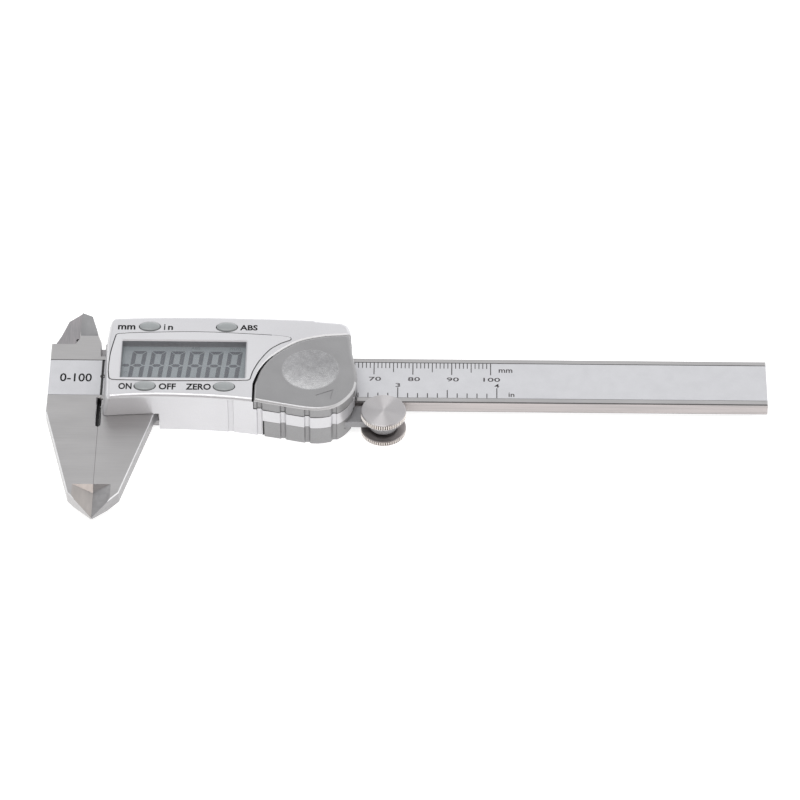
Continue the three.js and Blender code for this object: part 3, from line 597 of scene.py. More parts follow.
def make_label():
    for piece, node_name, x0, x1 in (("label_foil", "scale_label", 0.5, BEAM_RIGHT - 0.05),
                                     ("badge_foil", "badge_label", BEAM_LEFT + 0.05, -0.12)):
        foil = plate(rectangle(x0, x1, -6.34, 6.34), -0.2, LABEL_TOP, 0.03, steps=2)
        place(foil, piece, "beam_body", FOIL, [node_name])
    marks = []
    for i in range(101):
        low = 2.1 if i % 10 == 0 else 3.0 if i % 5 == 0 else 4.4
        half = 0.12 if i % 10 == 0 else 0.105
        marks.append(box(i - half, i + half, low, 6.3, LABEL_TOP, LABEL_TOP + PRINT_THICK))
    for i in range(41):
        high = -2.7 if i % 10 == 0 else -3.5 if i % 5 == 0 else -4.7
        x = 2.54 * i
        marks.append(box(x - 0.12, x + 0.12, -6.3, high, LABEL_TOP, LABEL_TOP + PRINT_THICK))
    for i in range(11):
        half = (1.55 if i > 0 else 0.7) if i < 10 else 2.15
        marks.append(lettering(str(10 * i), 10 * i + 0.3 - half, 10 * i + 0.3 + half, -0.3, 1.12,
            LABEL_TOP, FIGURE_WEIGHT))
    for i in range(1, 5):
        marks.append(lettering(str(i), 25.4 * i - 0.6, 25.4 * i + 0.6, -2.5, -1.1, LABEL_TOP,
            FIGURE_WEIGHT))
    marks.append(lettering("mm", 102.1, 105.6, 3.05, 4.3, LABEL_TOP, WORD_WEIGHT))
    marks.append(lettering("in", 104.6, 106.1, -5.8, -4.25, LABEL_TOP, WORD_WEIGHT))
    place(together(marks), "label_print", "beam_body", FINE_INK)
    badge = lettering("0-100", -10.7, -2.5, -1.55, 1.45, LABEL_TOP, WORD_WEIGHT)
    place(badge, "badge_print", "beam_body", INK)


def countersunk_screw(x, y, z, length, name, body, node_name):
    """A cross-slotted screw pointing up, its head flush with z."""
    shaft = turned(x, y, [(1.28, z), (1.35, z + 0.06), (0.7, z + 0.65), (0.7, z + length)], 40)
    # The slots are lined in black: painted shade in the slots.
    slots = cross(x, y, *SLOT, 0.06, z - 1, z + 0.4, 0.08, index=1)
    place(cut(shaft, *slots), name, body, [SCREW_STEEL, BLACK_AND_SHADE], [node_name])


def countersink(x, y, z, length):
    return turned(x, y, [(1.55, z - 1), (1.55, z), (0.84, z + 0.72), (0.84, z + length)], 40)


def make_end_stop():
    body = plate(rectangle(STOP_LEFT, STOP_RIGHT, -STOP_HALF, STOP_HALF, 0.6), STOP_LOW, -3.55,
                 0.1, 0.2, steps=3)
    cut(body, *[countersink(STOP_X, y, STOP_LOW, 3) for y in STOP_SCREWS])
    place(body, "end_stop", "beam_body", PLATED, ["end_stop_plate"])
    for i, y in enumerate(STOP_SCREWS):
        countersunk_screw(STOP_X, y, STOP_LOW, 2.6, f"stop_screw_{i + 1}", "beam_body",
            f"end_stop_screw_{i + 1}")


# ---------------- slider: metal frame


def make_slider_frame():
    jaw = [(0.45, -8.1), (0.45, -17.3), (SEAM, -18), (SEAM, JAW_TIP), (0.13, JAW_TIP),
        (*JAW_CORNER, 0.8), (13.45, -15.8), *smooth([(13.8, -14.2), (14.3, -12.9), (15.1, -12.1)],
        8), (15.1, -11.6), (63.3, -11.6), (63.3, -8.1)]
    lower = bevelled(plate(filleted(jaw), -BEAM_THICK, 0, JAW_EDGE, JAW_EDGE, 1,
        shrink=seam_side(1)), 3)
    # A thin black floor under the slider jaw's relief slot: painted shade.
    shade_sheet = box(0.04, 0.5, -18, -8.2, -BEAM_THICK + 0.1, -2.6, 2)
    upper = plate([(0.5, 8.45), (63.3, 8.45), (63.3, 10), (61, 12), (56, 13.2), (6.5, 13.5),
                   (4.6, 12.5), (0.5, 12.3)], -BEAM_THICK, 0, 0.1, 0.1, 2)
    blade = plate(filleted([(2, 8.45), (2, 12.2), (-5.5, 12.2, 0.5), (-7.7, 14.2, 0.5), (-6.4,
        16.4), (-6.4, 25.5), (-9.7, 22.5, 0.6), (-11.35, 17.2, 1), (-12.6, 14.3, 1), (-12.6,
        8.45)]), -BEAM_THICK, -1.8, 0.15, 0.15, 3, index=4)
    # The relief hole is lined in black: painted shade.
    notch = cylinder(-7.0, 15.5, 0.5, -3, 0, index=2)
    root = box(12, 15.2, -12.1, -11.7, -5.2, -3.4, 5)
    bars = []
    for x0, x1 in ((0.9, 3.2), (60.3, 63.2)):
        bars += [box(x0, x1, -11.4, 12, 0.6, 1.15), box(x0, x1, -11.4, -8.15, -0.5, 0.8),
                 box(x0, x1, 8.45, 12, -0.5, 0.8)]
    body = join(lower, upper, blade, shade_sheet, root, *bars)
    holes = [cylinder(x, y, 0.95, -5, 3) for x, y in HOUSING_SCREWS]
    gib_holes = [prism(circle(x, -1.75, 1, sides=24), "Y", 8, 15) for x in (16, 46)]
    cut(body, *holes, *gib_holes, notch, *knife_cuts(1))
    for face in body.data.polygons:
        x, y = face.center.x, face.center.y
        # The slot's walls go black: painted shade.
        if 0 < x < 0.6 and -18 < y < -8 and face.normal.z < 0.5:
            face.material_index = 2
        elif face.normal.x > 0.3 and abs(face.normal.z) < 0.2 and x > 1 and y < -12:
            face.material_index = 5
    place(body, "slider_jaw", "slider", [STEEL, FLANK, BLACK_AND_SHADE, EDGE_HIGHLIGHT, SAWN, FLANK],
          ["slider_frame"])


def make_back_metal():
    outline = filleted([(0.9, -11.4, 0.8), (63.1, -11.4, 0.8), (63.1, 9.8, 1), (61, 11.7, 1), (56,
        12.9, 2), (6.6, 13.2, 1), (4.7, 12.2, 1), (0.9, 12, 0.6)])
    body = plate(outline, PLATE_LOW, PLATE_HIGH, 0.08, 0.15, 3)
    cut(body, *[countersink(x, y, PLATE_LOW, 4) for x, y in HOUSING_SCREWS],
        cylinder(ROD_PIN_X, 0, 0.85, -6, 0))
    place(body, "rear_plate", "slider", PLATED, ["back_plate"])
    for i, (x, y) in enumerate(HOUSING_SCREWS):
        countersunk_screw(x, y, PLATE_LOW, 6.4, f"rear_screw_{i + 1}", "slider",
                          f"housing_screw_{i + 1}")
    rod = [(57, -1.4), (BEAM_RIGHT - 4, -1.4, 0.3), (BEAM_RIGHT - 3.7, -0.4, 0.3),
           (BEAM_RIGHT, -0.4, 0.2), (BEAM_RIGHT, 1.4, 0.3), (57, 1.4)]
    blade = plate(filleted(rod, 3), -3.35, -2.15, 0.12, 0.12, 2)
    cut(blade, cylinder(ROD_PIN_X, 0, 0.85, -6, 0))
    place(blade, "depth_blade", "slider", STEEL, ["depth_rod"])
    pin = turned(ROD_PIN_X, 0, [(0.9, -5), (1.15, -4.92), (1.2, -4.8), (1.2, -4.65), (0.75, -4.65),
        (0.75, -2.15)], 40)
    place(pin, "rod_rivet", "slider", SCREW_STEEL, ["depth_rod_pin"])


# ---------------- slider: housing

THUMB_FRONT = smooth([(38.5, -14.7), (46.4, -16.4), (54, -17.95), (58.5, -17.6), (62, -15.7),
    (64.3, -12.6), (65.3, -9.6)], 56)
HOUSING_OUTLINE = filleted([
    (-0.15, -14.15, 1.3),
    *smooth([(3.0, -13.9), (8, -13.5), (15.3, -13.2), (26, -13.5), (34, -14.1)], 30),
    *THUMB_FRONT,
    (65.1, -8.8),
    (64.4, -8.5),
    (64.4, 5),
    *smooth([(64, 10.6), (63.2, 12.9), (61.6, 14.1)], 10),
    (56, 14.68),
    (54.9, 14.8),
    (54.3, 15.15),
    (53.2, 15.25),
    *smooth([(43.4, 15.6), (27.7, 15.9), (15.2, 15.8), (5.5, 15.4)], 30),
    (0.6, 15.2, 2.0),
    (0.1, 12.2),
    (-0.1, 9.5),
    (-0.15, 6),
])
COVER_OUTLINE = [
    *smooth([(39.7, -14.75), (46.4, -16.3), (54, -17.8), (58.5, -17.5), (62, -15.6),
             (64.9, -11.6), (65.8, -7.5), (65.7, -4), (65.1, -0.5), (64.3, 4), (63.9, 8)], 90),
    (63.75, 8.75),
    (63.3, 9.2),
    (62.5, 9.4),
    *smooth([(57.5, 9), (50.5, 6.8), (44.2, 1.5), (41.2, -3.4), (39.7, -9)], 48),
]
BEZEL_OUTLINE = filleted([
    (2.7, -7.75, 1.3),
    *smooth([(4.6, -7.85), (19.4, -8.05), (36.6, -7.7)], 12),
    (38.4, -7.6, 0.8),
    *smooth([(39, -4.6), (40.6, -0.6), (43.2, 3.6), (46, 6.0)], 20),
    (49.6, 7.75, 0.6),
    *smooth([(46.5, 8.5), (40.7, 9), (24.9, 9.8), (9.3, 9.3), (5.6, 9.0)], 24),
    (3.75, 8.85, 0.9),
    *smooth([(3.3, 6.5), (2.75, 3.2), (2.5, 0.6), (2.37, -2), (2.35, -4.6)], 12),
])


def front_wall_at(x):
    """Y of the thumb rest's front wall at a given X."""
    for (x0, y0), (x1, y1) in zip(THUMB_FRONT, THUMB_FRONT[1:]):
        if x0 <= x <= x1:
            return y0 + (y1 - y0) * (x - x0) / (x1 - x0)
    return THUMB_FRONT[-1][1]


def flute_cuts(z0, z1, inward=0.0, corner=True):
    """Upright finger flutes down the thumb rest, round-topped where they end at z1."""
    made = [corner_flute(z0, z1, inward)] if corner else []
    for x in FLUTES:
        wall = front_wall_at(x) + inward
        half = FLUTE_WIDTH / 2
        profile = [(x - half - 0.5, wall - 3), (x + half + 0.5, wall - 3), (x + half + 0.25, wall -
            0.3), (x + half, wall + FLUTE_DEPTH * 0.5), (x + half - 0.25, wall + FLUTE_DEPTH), (x -
            half + 0.25, wall + FLUTE_DEPTH), (x - half, wall + FLUTE_DEPTH * 0.5), (x - half -
            0.25, wall - 0.3)]
        made.append(plate(profile, z0, z1, 0.35, steps=3))
    return made


LEAN_START, LEAN_REACH, BED_GAP = 0.3, 8, 0.42
LEFT_LEAN = ((-15, 2.7), (-12.8, 2.5), (-10.4, 1.7), (-7.8, 1.3), (-4, 1.05), (0, 1.1), (4, 1.55),
             (8, 1.9), (12, 1.95), (16, 2.0))


def lean_at(y):
    for (y0, lean0), (y1, lean1) in zip(LEFT_LEAN, LEFT_LEAN[1:]):
        if y <= y1:
            return lean0 + (lean1 - lean0) * max(0, y - y0) / (y1 - y0)
    return LEFT_LEAN[-1][1]


def corner_flute(z0, z1, inward):
    """The last flute, on the rounded corner by the roller."""
    across, out = Vector((0.31, 0.95)), Vector((0.95, -0.31))
    foot = Vector((65.12, -10.7)) - out * inward * 0.5
    half = 0.55
    corners = [foot - across * half - out * 0.28, foot + across * half - out * 0.28,
               foot + across * (half + 0.4) + out * 2.5, foot - across * (half + 0.4) + out * 2.5]
    return plate([tuple(c) for c in reversed(corners)], z0, z1, 0.3, steps=3)


def slant_left(obj):
    """Leans the housing's left end inwards towards its top, most of all at its corners.

    Only existing points move, and the wall has none between its rounded edges. So it leans from
    its foot.
    """
    for vert in obj.data.vertices:
        share = max(0, 1 - vert.co.x / LEAN_REACH) * max(0, vert.co.z - LEAN_START) / (TOP -
            LEAN_START)
        vert.co.x += lean_at(vert.co.y) * share
    return obj


def bed_gap():
    """The gap along the cover's left edge, widest at the front corner."""
    made = []
    for x, y in inset(COVER_OUTLINE, -0.05):
        share = min(1, max(0, (4 - y) / 12)) if x < 50 else 0
        made.append((x - BED_GAP * share, y))
    return hole(made, SPLIT_HIGH, TOP, 0.0, 1)


def window_box(margin, z0, z1, index=0):
    x0, x1, y0, y1 = WINDOW
    return box(x0 - margin, x1 + margin, y0 - margin, y1 + margin, z0, z1, index)


def cavity(points, wall):
    """The outline inside a wall, without the loops that inset leaves at tight corners.

    Such a loop turns a cutter inside out, and it then adds material.
    """
    edges = [(Vector(a), Vector(b)) for a, b in zip(points, points[1:] + points[:1])]

    def reach(point, a, b):
        along = b - a
        share = (point - a).dot(along) / max(along.length_squared, 1e-9)
        return (point - a - along * min(1, max(0, share))).length

    return [p for p in inset(points, wall)
            if min(reach(Vector(p), a, b) for a, b in edges) > 0.97 * wall]


def housing_block():
    return slant_left(plate(HOUSING_OUTLINE, BACK, TOP, 1.1, 0.25, 6))


def make_housing():
    outer = housing_block()
    # Index 1, the black, lines the cavity, the cover's bed and its gaps, the cell well, the mouths
    # and the openings: painted shade on walls that lie in shadow.
    hollow = cut(plate(cavity(HOUSING_OUTLINE, WALL), BACK - 1, CEILING, index=1),
                 box(-1, 4.4, -20, 20, 1.3, 8))
    deck = meet(plate(inset(COVER_OUTLINE, -WALL), 2.7, TOP - 0.05), housing_block())
    # The bed's chamfered rim takes index 2, a near-white silver: painted highlight along the
    # cover's edge.
    bed_cuts = [hole(inset(COVER_OUTLINE, -0.14), SPLIT_HIGH, TOP, 0.3, 1, 2), bed_gap(),
        box(39.56, 68, -20, -13, SPLIT_HIGH, TOP + 1, 1), box(62, 68, -20, 9.55, SPLIT_HIGH, TOP +
        1, 1)]
    shell = cut(join(cut(outer, hollow), deck), *bed_cuts)
    bay = cut(cylinder(CELL_X, CELL_Y, BAY_RING, 1.3, 5.55, 96),
              box(30, 70, -30, BAY_FRONT, SPLIT_HIGH, TOP), box(30, 70, -30, -17, 0, 4))
    bay = meet(bay, plate(HOUSING_OUTLINE, BACK, TOP))
    well = cylinder(CELL_X, CELL_Y, BAY_R, 2.2, COVER_LOW - 0.05, 96, 1)
    mouths = [box(-1, 4.5, -11.9, 8.25, BACK - 1, 1.3, 1), box(0.45, 4.5, 8.2, 12.6, BACK - 1, 1.3,
        1), box(-1, 0.5, 8.2, 20, BACK - 1, -1.72, 1), box(62, 63.5, -12.2, 12.3, BACK - 1, 1.3,
        1), box(62, 68, -8.45, 12.3, BACK - 1, 1.3, 1), box(-1, 15.4, -16, -11.8, BACK - 1, 0.1),
        box(SHADE_SHEET_LEFT, 68, -20, -11.8, BACK - 1, SPLIT_LOW, 1), box(62, 68, -20, -8, BACK - 1,
        SPLIT_LOW, 1)]
    openings = [window_box(0, 4, TOP + 1, 1), hole(inset(BEZEL_OUTLINE, -0.26), 6.3, TOP, 0.0, 1)]
    openings += [hole(circle(x, y, BUTTON_RX, BUTTON_RY, 48), 4, TOP, 0.12, 1)
                 for x, y in BUTTONS.values()]
    wall = -14.02
    groove = plate([(33.0, wall - 2), (34.5, wall - 2), (34.5, wall + 0.2), (34.35, wall + 0.34),
                    (33.15, wall + 0.34), (33.0, wall + 0.2)], BACK - 1, TOP - 0.9, 0.15, steps=2)
    screw_holes = [cylinder(x, y, 0.8, 0, 2) for x, y in HOUSING_SCREWS]
    body = cut(join(shell, bay), *mouths, well, *openings, groove, *screw_holes,
               *flute_cuts(BACK - 1, SPLIT_HIGH + 0.4))
    # Black faces toward the camera at the far side of the cover's bed take the same near-white
    # silver: painted highlight.
    for face in body.data.polygons:
        x, y, z = face.center
        if face.material_index == 1 and face.normal.y < -0.4 and x > 44 and y > 0 and z > 5:
            face.material_index = 2
    place(body, "housing_shell", "slider", [HOUSING, BLACK_AND_SHADE, LIP_HIGHLIGHT],
          ["housing_cover"])


def make_bezel():
    body = plate(BEZEL_OUTLINE, 6.45, TOP + 0.15, 0.12, steps=3)
    x0, x1, y0, y1 = WINDOW
    cut(body, hole(rectangle(x0, x1, y0, y1, 0.25), 4, TOP + 0.15, 0.3))
    place(body, "bezel_plate", "slider", BEZEL, ["display_bezel"])
    lining = cut(window_box(0.75, LCD_TOP + 0.05, 5.35), window_box(0.2, 4, 9))
    # The gasket ring under the lens is dark grey in its own right. The sleeve on the window's
    # reveal walls is the same grey as painted shade of the reveal.
    walls = cut(window_box(0.25, LCD_TOP + 0.05, 6.85), window_box(-0.12, 4, 9))
    place(join(lining, walls), "window_lining_and_shade", "slider", LINING_AND_SHADE,
          ["window_gasket"])
    place(plate(rectangle(x0 + 0.14, x1 - 0.14, y0 + 0.14, y1 - 0.14), 5.0, 5.35, 0.05, 0.05, 2),
          "window_lens", "slider", LENS, ["display_window"])


def digit_segments(stroke_x, stroke_y, gap):
    """Each segment's corners, for a digit 1 wide and 2 high drawn from its lower left."""
    sx, sy, g = stroke_x, stroke_y, gap
    upright = [(0, 1 + g), (sx / 2, 1 + g + 0.02), (sx, 1 + sy / 2 + g), (sx, 2 - sy - g),
               (0, 2 - g)]
    bar = [(g, 2), (sx + g * 0.5, 2 - sy), (1 - sx - g * 0.5, 2 - sy), (1 - g, 2)]
    middle = [(0.19, 1), (0.33, 1 + sy / 2), (0.67, 1 + sy / 2), (0.81, 1), (0.67, 1 - sy / 2),
              (0.33, 1 - sy / 2)]
    flip_x = [(1 - x, y) for x, y in upright]
    half = [upright, flip_x, bar]
    return half + [[(x, 2 - y) for x, y in s] for s in half] + [middle]


def make_display():
    panel = plate(rectangle(4.6, 38.2, -7.6, 7.6, 0.3), 3.3, LCD_TOP, 0.1, 0.1, 2)
    place(panel, "lcd_glass", "slider", LCD, ["lcd_panel"])
    left, middle_y, width, half_height, pitch, lean = 7.55, -0.5, 3.72, 5.25, 4.91, 0.0925
    z = LCD_TOP
    marks = []
    for digit in range(6):
        for segment in digit_segments(0.29, 0.19, 0.035):
            points = []
            for u, v in segment:
                y = middle_y + (v - 1) * half_height
                points.append((left + digit * pitch + u * width + lean * (y - middle_y), y))
            marks.append(plate(points, z, z + PRINT_THICK))
    marks.append(plate([(5.5, -0.5), (5.95, -1), (6.95, -1), (7.4, -0.5), (6.95, 0), (5.95, 0)], z,
        z + PRINT_THICK))
    place(together(marks), "lcd_segments", "slider", SEGMENT)
    words = [lettering("ABS", 22.95, 25.3, 5.5, 6.5, z), lettering("mm", 32.9, 35.7, 5.2, 6.1, z),
             lettering("in", 5.75, 6.9, -3.45, -2.4, z)]
    place(together(words), "lcd_words", "slider", FAINT)


def make_keys():
    for name, (x, y) in BUTTONS.items():
        rx, ry = BUTTON_RX - KEY_GAP, BUTTON_RY - KEY_GAP
        rings = [level(circle(x, y, rx + 0.6, ry), 2.25), level(circle(x, y, rx + 0.6, ry), 4.9),
                 level(circle(x, y, rx, ry), 5), level(circle(x, y, rx, ry), KEY_DOME)]
        for i in range(1, 12):
            a = math.pi / 2 * i / 12
            share = math.cos(a) ** 0.8
            rings.append(level(circle(x, y, rx * share, ry * share), KEY_DOME + (BUTTON_TOP -
                KEY_DOME) * math.sin(a)))
        place(solid(rings), f"key_{name}_cap", f"key_{name}", RUBBER,
              [f"button_{name}"])
    words = {"mm": (3.9, 8.4, 10.55, 12.2), "i": (15.75, 16.1, 10.55, 12.65), "n": (16.8, 18.1,
        10.55, 12.05), "ABS": (35.35, 39.9, 10.6, 12.6), "ON": (5.1, 8.5, -11.4, -9.15), "OFF":
        (15.4, 19.75, -11.4, -9.15), "ZERO": (22.3, 28.7, -11.4, -9.15)}
    marks = [lettering(word, *span, TOP, 0.028) for word, span in words.items()]
    place(together(marks), "key_labels", "slider", INK)


# ---------------- slider: battery and its cover


def make_battery():
    bottom, top = 2.45, 5.65
    can = turned(CELL_X, CELL_Y, [
        (8.6, bottom), (9, bottom + 0.08), (9.1, bottom + 0.35), (9.7, bottom + 0.42),
        (9.9, bottom + 0.55), (10, bottom + 0.75), (10, top - 0.25), (9.92, top - 0.08),
        (9.75, top)], 96)
    mark = cross(CELL_X, CELL_Y, 1.6, 0.3, 0.1, top - 0.08, top + 1)
    ring = turned(CELL_X, CELL_Y, [(8.2, top - 0.06), (8.4, top - 0.06), (8.4, top + 0.5), (8.2,
        top + 0.5)], 96, 0, True)
    place(cut(can, *mark, ring), "coin_cell", "slider", CELL, ["battery"])
    seal = []
    for i in range(12):
        a = 2 * math.pi * i / 12
        seal.append((10.15 + 0.09 * math.cos(a), 5.52 + 0.25 * math.sin(a)))
    place(turned(CELL_X, CELL_Y, seal, 96, 0, True), "cell_seal", "slider", SOFT,
          ["battery_seal"])


def make_cover():
    outer = plate(COVER_OUTLINE, SPLIT_HIGH + 0.05, COVER_TOP, 0.95, steps=7)
    # The cover's insides are lined in black: painted shade.
    hollow = [plate(inset(COVER_OUTLINE, LID_WALL), 0, COVER_LOW, index=2), box(30, 63.2, BAY_FRONT
        - 0.15, -8.5, 0, COVER_LOW, 2), box(30, 64.6, -8.5, 2.5, 0, COVER_LOW, 2), box(30, 62.6,
        2.5, 12, 0, COVER_LOW, 2)]
    apron = meet(plate(COVER_OUTLINE, 0.6, 6), box(64.6, 70, -6.8, 8, 0.6, 6))
    sphere_r = (DIMPLE_R ** 2 + DIMPLE_DEPTH ** 2) / (2 * DIMPLE_DEPTH)
    centre = COVER_TOP - DIMPLE_DEPTH + sphere_r
    arc = []
    for i in range(1, 15):
        a = math.asin(DIMPLE_R / sphere_r) * i / 14
        arc.append((sphere_r * math.sin(a), centre - sphere_r * math.cos(a)))
    arc += [(DIMPLE_R + 0.12, COVER_TOP + 0.12), (DIMPLE_R + 0.12, COVER_TOP + 1)]
    dimple = turned(DIMPLE_X, DIMPLE_Y, arc, 96, 1)
    strokes = []
    tip = Vector((59.8, -11.1))
    for tail in (Vector((55.5, -13.1)), Vector((59.2, -14.5))):
        along = (tip - tail).normalized()
        side = Vector((-along.y, along.x)) * 0.11
        corners = [tail - side, tip + along * 0.1 - side, tip + along * 0.1 + side, tail + side]
        strokes.append(solid([level([tuple(c) for c in corners], COVER_TOP - 0.12), level([tuple(c)
            for c in corners], COVER_TOP + 1)]))
    body = cut(join(cut(outer, *hollow), apron), dimple, *strokes,
               *flute_cuts(0, TOP - 0.65, 0.15))
    # The slanted faces of the front rounding take a lighter grey: painted highlight.
    for face in body.data.polygons:
        if face.material_index == 0 and 0.15 < face.normal.z < 0.93 and face.center.y < -8:
            face.material_index = 3
    place(body, "battery_lid_shell", "battery_lid",
          [GREY, STIPPLE, BLACK_AND_SHADE, GREY_EDGE_HIGHLIGHT], ["battery_cover"])


# ---------------- thumb grip and roller


def make_grip():
    left = GRIP_LEFT
    outline = [(left, -12.35), (left, front_wall_at(left)),
               *[p for p in THUMB_FRONT if p[0] > left + 0.4 and p[1] < -12.4], (64.4, -12.35)]
    body = plate(outline, BACK, SPLIT_LOW - 0.05, 0.12, 0.3, 4)
    # The recess under the arm and the screw hole are lined in black: painted shade.
    arm_bed = plate([(56.7, -16), (62.2, -15.02), (64.4, -14.55), (70, -14.6), (70, -11), (56.7,
        -11)], -3.1, -0.9, index=1)
    screw_hole = turned(*ARM_SCREW, [(1.6, -7), (1.6, -4.5), (0.9, -4.5), (0.9, -2)], 32, 1)
    # A black sheet behind the gap at the grip's left end: painted shade in the gap.
    front_of_shade_sheet = front_wall_at(left) + 0.7
    shade_sheet = box(SHADE_SHEET_LEFT, left + 0.1, front_of_shade_sheet, -12.4, BACK + 0.05, SPLIT_LOW - 0.1, 1)
    cut(body, arm_bed, screw_hole, *flute_cuts(-7, 1, corner=False))
    join(body, shade_sheet)
    place(body, "grip_shell", "slider", [GREY, BLACK_AND_SHADE], ["grip_base"])
    screw = turned(*ARM_SCREW, [(1.2, -5.3), (1.4, -5.15), (1.4, -4.6), (0.7, -4.6), (0.7, -1.1)],
                   40)
    # The slots are lined in black: painted shade in the slots.
    slots = cross(*ARM_SCREW, *SLOT, 0.05, -7, -4.95, 0.08, index=1)
    place(cut(screw, *slots), "arm_screw", "slider", [SCREW_STEEL, BLACK_AND_SHADE],
          ["bracket_screw"])


def make_roller():
    arm = plate(filleted([(57, -15.8), (62.2, -14.9), (64.4, -14.4), (ROLLER_X, -14.5), (ROLLER_X,
        -8.6), (63.9, -8.6, 0.3), (63.7, -12.7), (57, -12.7)], 4), -3, -1, 0.12, 0.12, 3)
    boss = turned(*ROLLER_AT, [(3.3, -3.35), (3.62, -3.25), (3.75, -3.0), (3.8, -2.6), (3.8, -0.5),
        (3.7, -0.15), (3.5, 0)], 72)
    holes = [cylinder(*ROLLER_AT, 1.6, -6, 6, 40), cylinder(*ARM_SCREW, 0.8, -6, 6)]
    place(cut(join(arm, boss), *holes), "roller_arm", "slider", CAST,
          ["roller_bracket"])
    washer = []
    for r, z in ((1.72, -3.68), (3.15, -3.68), (3.15, -3.58), (1.72, -3.58)):
        washer.append([(ROLLER_X + r * math.cos(t), ROLLER_Y + r * math.sin(t), z + 0.09 *
            math.cos(3 * t)) for t in (2 * math.pi * i / 72 for i in range(72))])
    place(solid(washer, 0, True), "spring_washer", "slider", SCREW_STEEL,
          ["roller_wave_washer"])
    axle = turned(*ROLLER_AT, [(1.4, -4.85), (1.5, -4.75), (1.5, 1.0), (1.4, 1.1)], 48)
    cut(axle, cylinder(*ROLLER_AT, 0.8, -6, -2.9))
    place(axle, "roller_spindle", "thumb_roller", SCREW_STEEL, ["roller_axle"])
    rim = ROLLER_R
    upper = knurled_disc([(rim - 0.45, 0.1, 0), (rim - 0.2, 0.14, 0), (rim - 0.02, 0.3, 0), (rim,
        0.38, 1), (rim, 1.62, 1), (rim - 0.02, 1.7, 0), (rim - 0.2, 1.94, 0), (rim - 0.26, 1.98,
        0), (rim - 0.32, 2, 0)])
    cut(upper, cylinder(*ROLLER_AT, 1.6, -1, 1.2, 40, 1))
    place(upper, "roller_wheel_upper", "thumb_roller", [SPUN, KNURL, GROOVE_SHADE],
          ["roller_disc_upper"], 30)
    lower = knurled_disc([(rim - 0.5, -5.4, 0), (rim - 0.23, -5.33, 0), (rim - 0.02, -5.15, 0),
        (rim, -5.07, 1), (rim, -4.2, 1), (rim - 0.02, -4.12, 0), (rim - 0.2, -3.93, 0), (rim -
        0.45, -3.9, 0)])
    cut(lower, cylinder(*ROLLER_AT, 1.6, -5.4, -3, 40, 1),
        cylinder(*ROLLER_AT, 2.2, -7, -4.85, 40, 1))
    place(lower, "roller_wheel_lower", "thumb_roller", [MILLED, KNURL, GROOVE_SHADE],
          ["roller_disc_lower"], 30)
    screw = turned(*ROLLER_AT, [(1.75, -5.3), (2, -5.15), (2, -4.9), (0.7, -4.9), (0.7, -3)], 40)
    # The slot is lined in black: painted shade in the slot.
    slot = plate(rectangle(ROLLER_X - 3, ROLLER_X + 3, ROLLER_Y - 0.2, ROLLER_Y + 0.2), -6, -5.08,
                 index=1)
    place(cut(screw, slot), "roller_slot_screw", "thumb_roller",
          [SCREW_STEEL, BLACK_AND_SHADE], ["roller_screw"])


def knurled_disc(profile, teeth=60, tooth=0.27):
    """A disc through (radius, z, knurled) rings; knurled rings carry upright V grooves."""
    rings = []
    for r, z, knurled in profile:
        ring = []
        for i in range(teeth * 4):
            t = 2 * math.pi * i / (teeth * 4)
            dip = tooth * (1, 0.45, 0, 0.45)[i % 4] * knurled
            ring.append((ROLLER_X + (r - dip) * math.cos(t), ROLLER_Y + (r - dip) * math.sin(t),
                z))
        rings.append(ring)
    disc = solid(rings)
    # The deep faces of the grooves take index 2, a darker warm grey: painted shade in the knurl's
    # grooves.
    for face in disc.data.polygons:
        reach = math.hypot(face.center.x - ROLLER_X, face.center.y - ROLLER_Y)
        flat = len(face.vertices) > 4 or face.normal.z > 0.35
        face.material_index = 0 if flat else 2 if reach < ROLLER_R - 0.5 * tooth \
            and abs(face.normal.z) < 0.2 else 1
    return disc


# ---------------- the whole object

make_beam()
make_label()
make_end_stop()
make_slider_frame()
make_back_metal()
make_housing()
make_bezel()
make_display()
make_keys()
make_battery()
make_cover()
make_grip()
make_roller()
for finish, names in (
        (BOARD, ["main_board"]),
        (BRASS, ["gib_strip", "battery_contact_negative", "battery_contact_positive",
                 *[f"switch_dome_{key}" for key in BUTTONS]]),
        (SCREW_STEEL, ["gib_screw_1", "gib_screw_2"]),
        (FELT, ["wiper_seal_front", "wiper_seal_rear"]),
        (SOFT, ["zebra_connector_1", "zebra_connector_2"]),
        (BLACK_AND_SHADE, ["scale_grating_strip", "measuring_chip"])):
    for node_name in names:
        dress(node_name, finish)

# ---------------- stage, light and camera


def make_floor():
    made = bmesh.new()
    bmesh.ops.create_grid(made, x_segments=2, y_segments=2, size=6)
    mesh = bpy.data.meshes.new("floor")
    made.to_mesh(mesh)
    made.free()
    floor = bpy.data.objects.new("floor", mesh)
    floor.location.z = BACK * MM + ORIGIN.z - FLOOR_GAP
    link(floor)
    white = new_material("floor_white", (0.6, 0.6, 0.6), 0.9, Emission_Color=(1, 1, 1, 1),
        Emission_Strength=0.75, Specular_IOR_Level=0.0)
    mesh.materials.append(white)


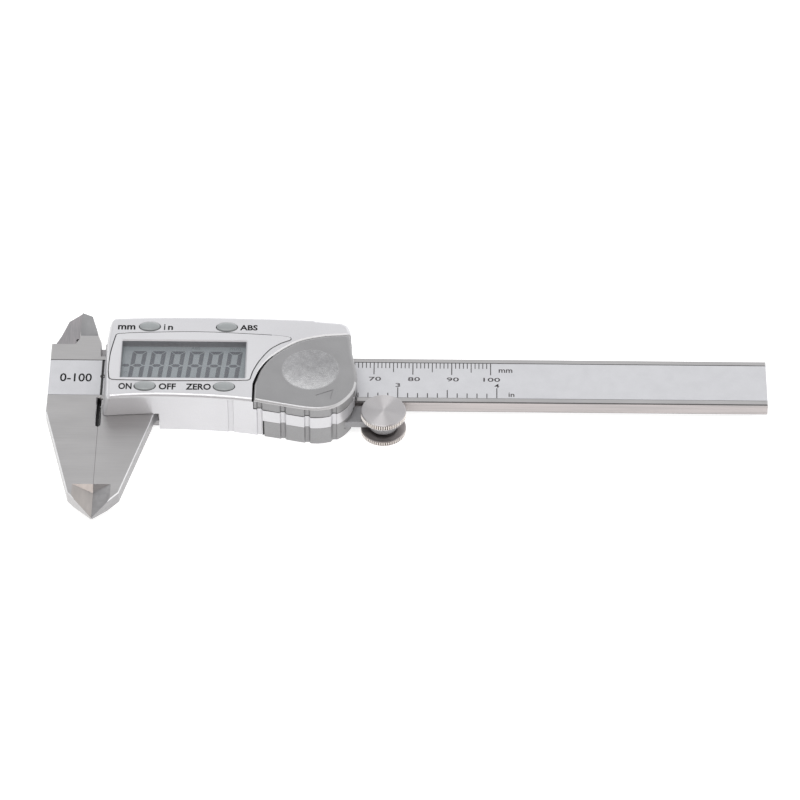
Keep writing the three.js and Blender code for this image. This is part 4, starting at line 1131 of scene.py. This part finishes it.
def make_world():
    """A white studio: bright far wall and sides, greyer ceiling, dim and warm on the near side."""
    world = bpy.data.worlds.new("studio")
    world.use_nodes = True
    bpy.context.scene.world = world
    tree = world.node_tree
    where = node(tree, "TexCoord").outputs["Generated"]
    axes = node(tree, "SeparateXYZ", Vector=where).outputs
    ramp = node(tree, "ValToRGB", Fac=ranged(tree, axes["Y"], 0.0, 1.0, -1.0, 1.0))
    stops = ramp.color_ramp.elements
    stops[0].color, stops[1].color = (0.20, 0.165, 0.15, 1), (1, 1, 1, 1)
    for position, color in ((0.16, (0.32, 0.285, 0.27, 1)), (0.34, (0.68, 0.67, 0.67, 1)),
                            (0.72, (0.72, 0.72, 0.73, 1)), (0.86, (0.80, 0.80, 0.81, 1))):
        stops.new(position).color = color
    across = node(tree, "Math", {"operation": "ABSOLUTE"}, i0=axes["X"]).outputs[0]
    sides = ranged(tree, across, 0.0, 1.0, 0.45, 0.95)
    room = blend(tree, sides, ramp.outputs["Color"], (1.0, 1.0, 1.0))
    background = tree.nodes["Background"]
    tree.links.new(room, background.inputs["Color"])
    tree.links.new(ranged(tree, axes["X"], 0.86, 1.2, -0.5, 0.5), background.inputs["Strength"])


def make_light(name, place_at, look_at, width, height, watts):
    data = bpy.data.lights.new(name, "AREA")
    data.shape = "RECTANGLE"
    data.size, data.size_y, data.energy = width, height, watts
    lamp = bpy.data.objects.new(name, data)
    lamp.location = place_at
    lamp.rotation_euler = (Vector(look_at) - Vector(place_at)).to_track_quat("-Z", "Y").to_euler()
    link(lamp)


def make_camera():
    elevation, heading, distance = math.radians(44.533), math.radians(0.731), 1289.09
    ahead = Vector((-math.sin(heading), math.cos(heading), 0)) * math.cos(elevation)
    ahead.z = -math.sin(elevation)
    target = GAUGE @ Vector((76.818, -7.327, 0))
    data = bpy.data.cameras.new("camera")
    data.lens, data.sensor_width = 226.66, 36
    data.clip_start, data.clip_end = 0.05, 20
    camera = bpy.data.objects.new("camera", data)
    camera.location = target - ahead * distance * MM
    camera.rotation_mode = "QUATERNION"
    camera.rotation_quaternion = ahead.to_track_quat("-Z", "Y")
    link(camera)
    bpy.context.scene.camera = camera


make_floor()
make_world()
make_light("key", (-0.25, -0.4, 1.4), (0, 0, 0), 1.2, 0.8, 8.5)
make_light("back", (0.1, 2.2, 0.95), (0, 0, 0), 2.2, 0.7, 4)
make_camera()
bpy.context.scene.view_settings.view_transform = "Standard"
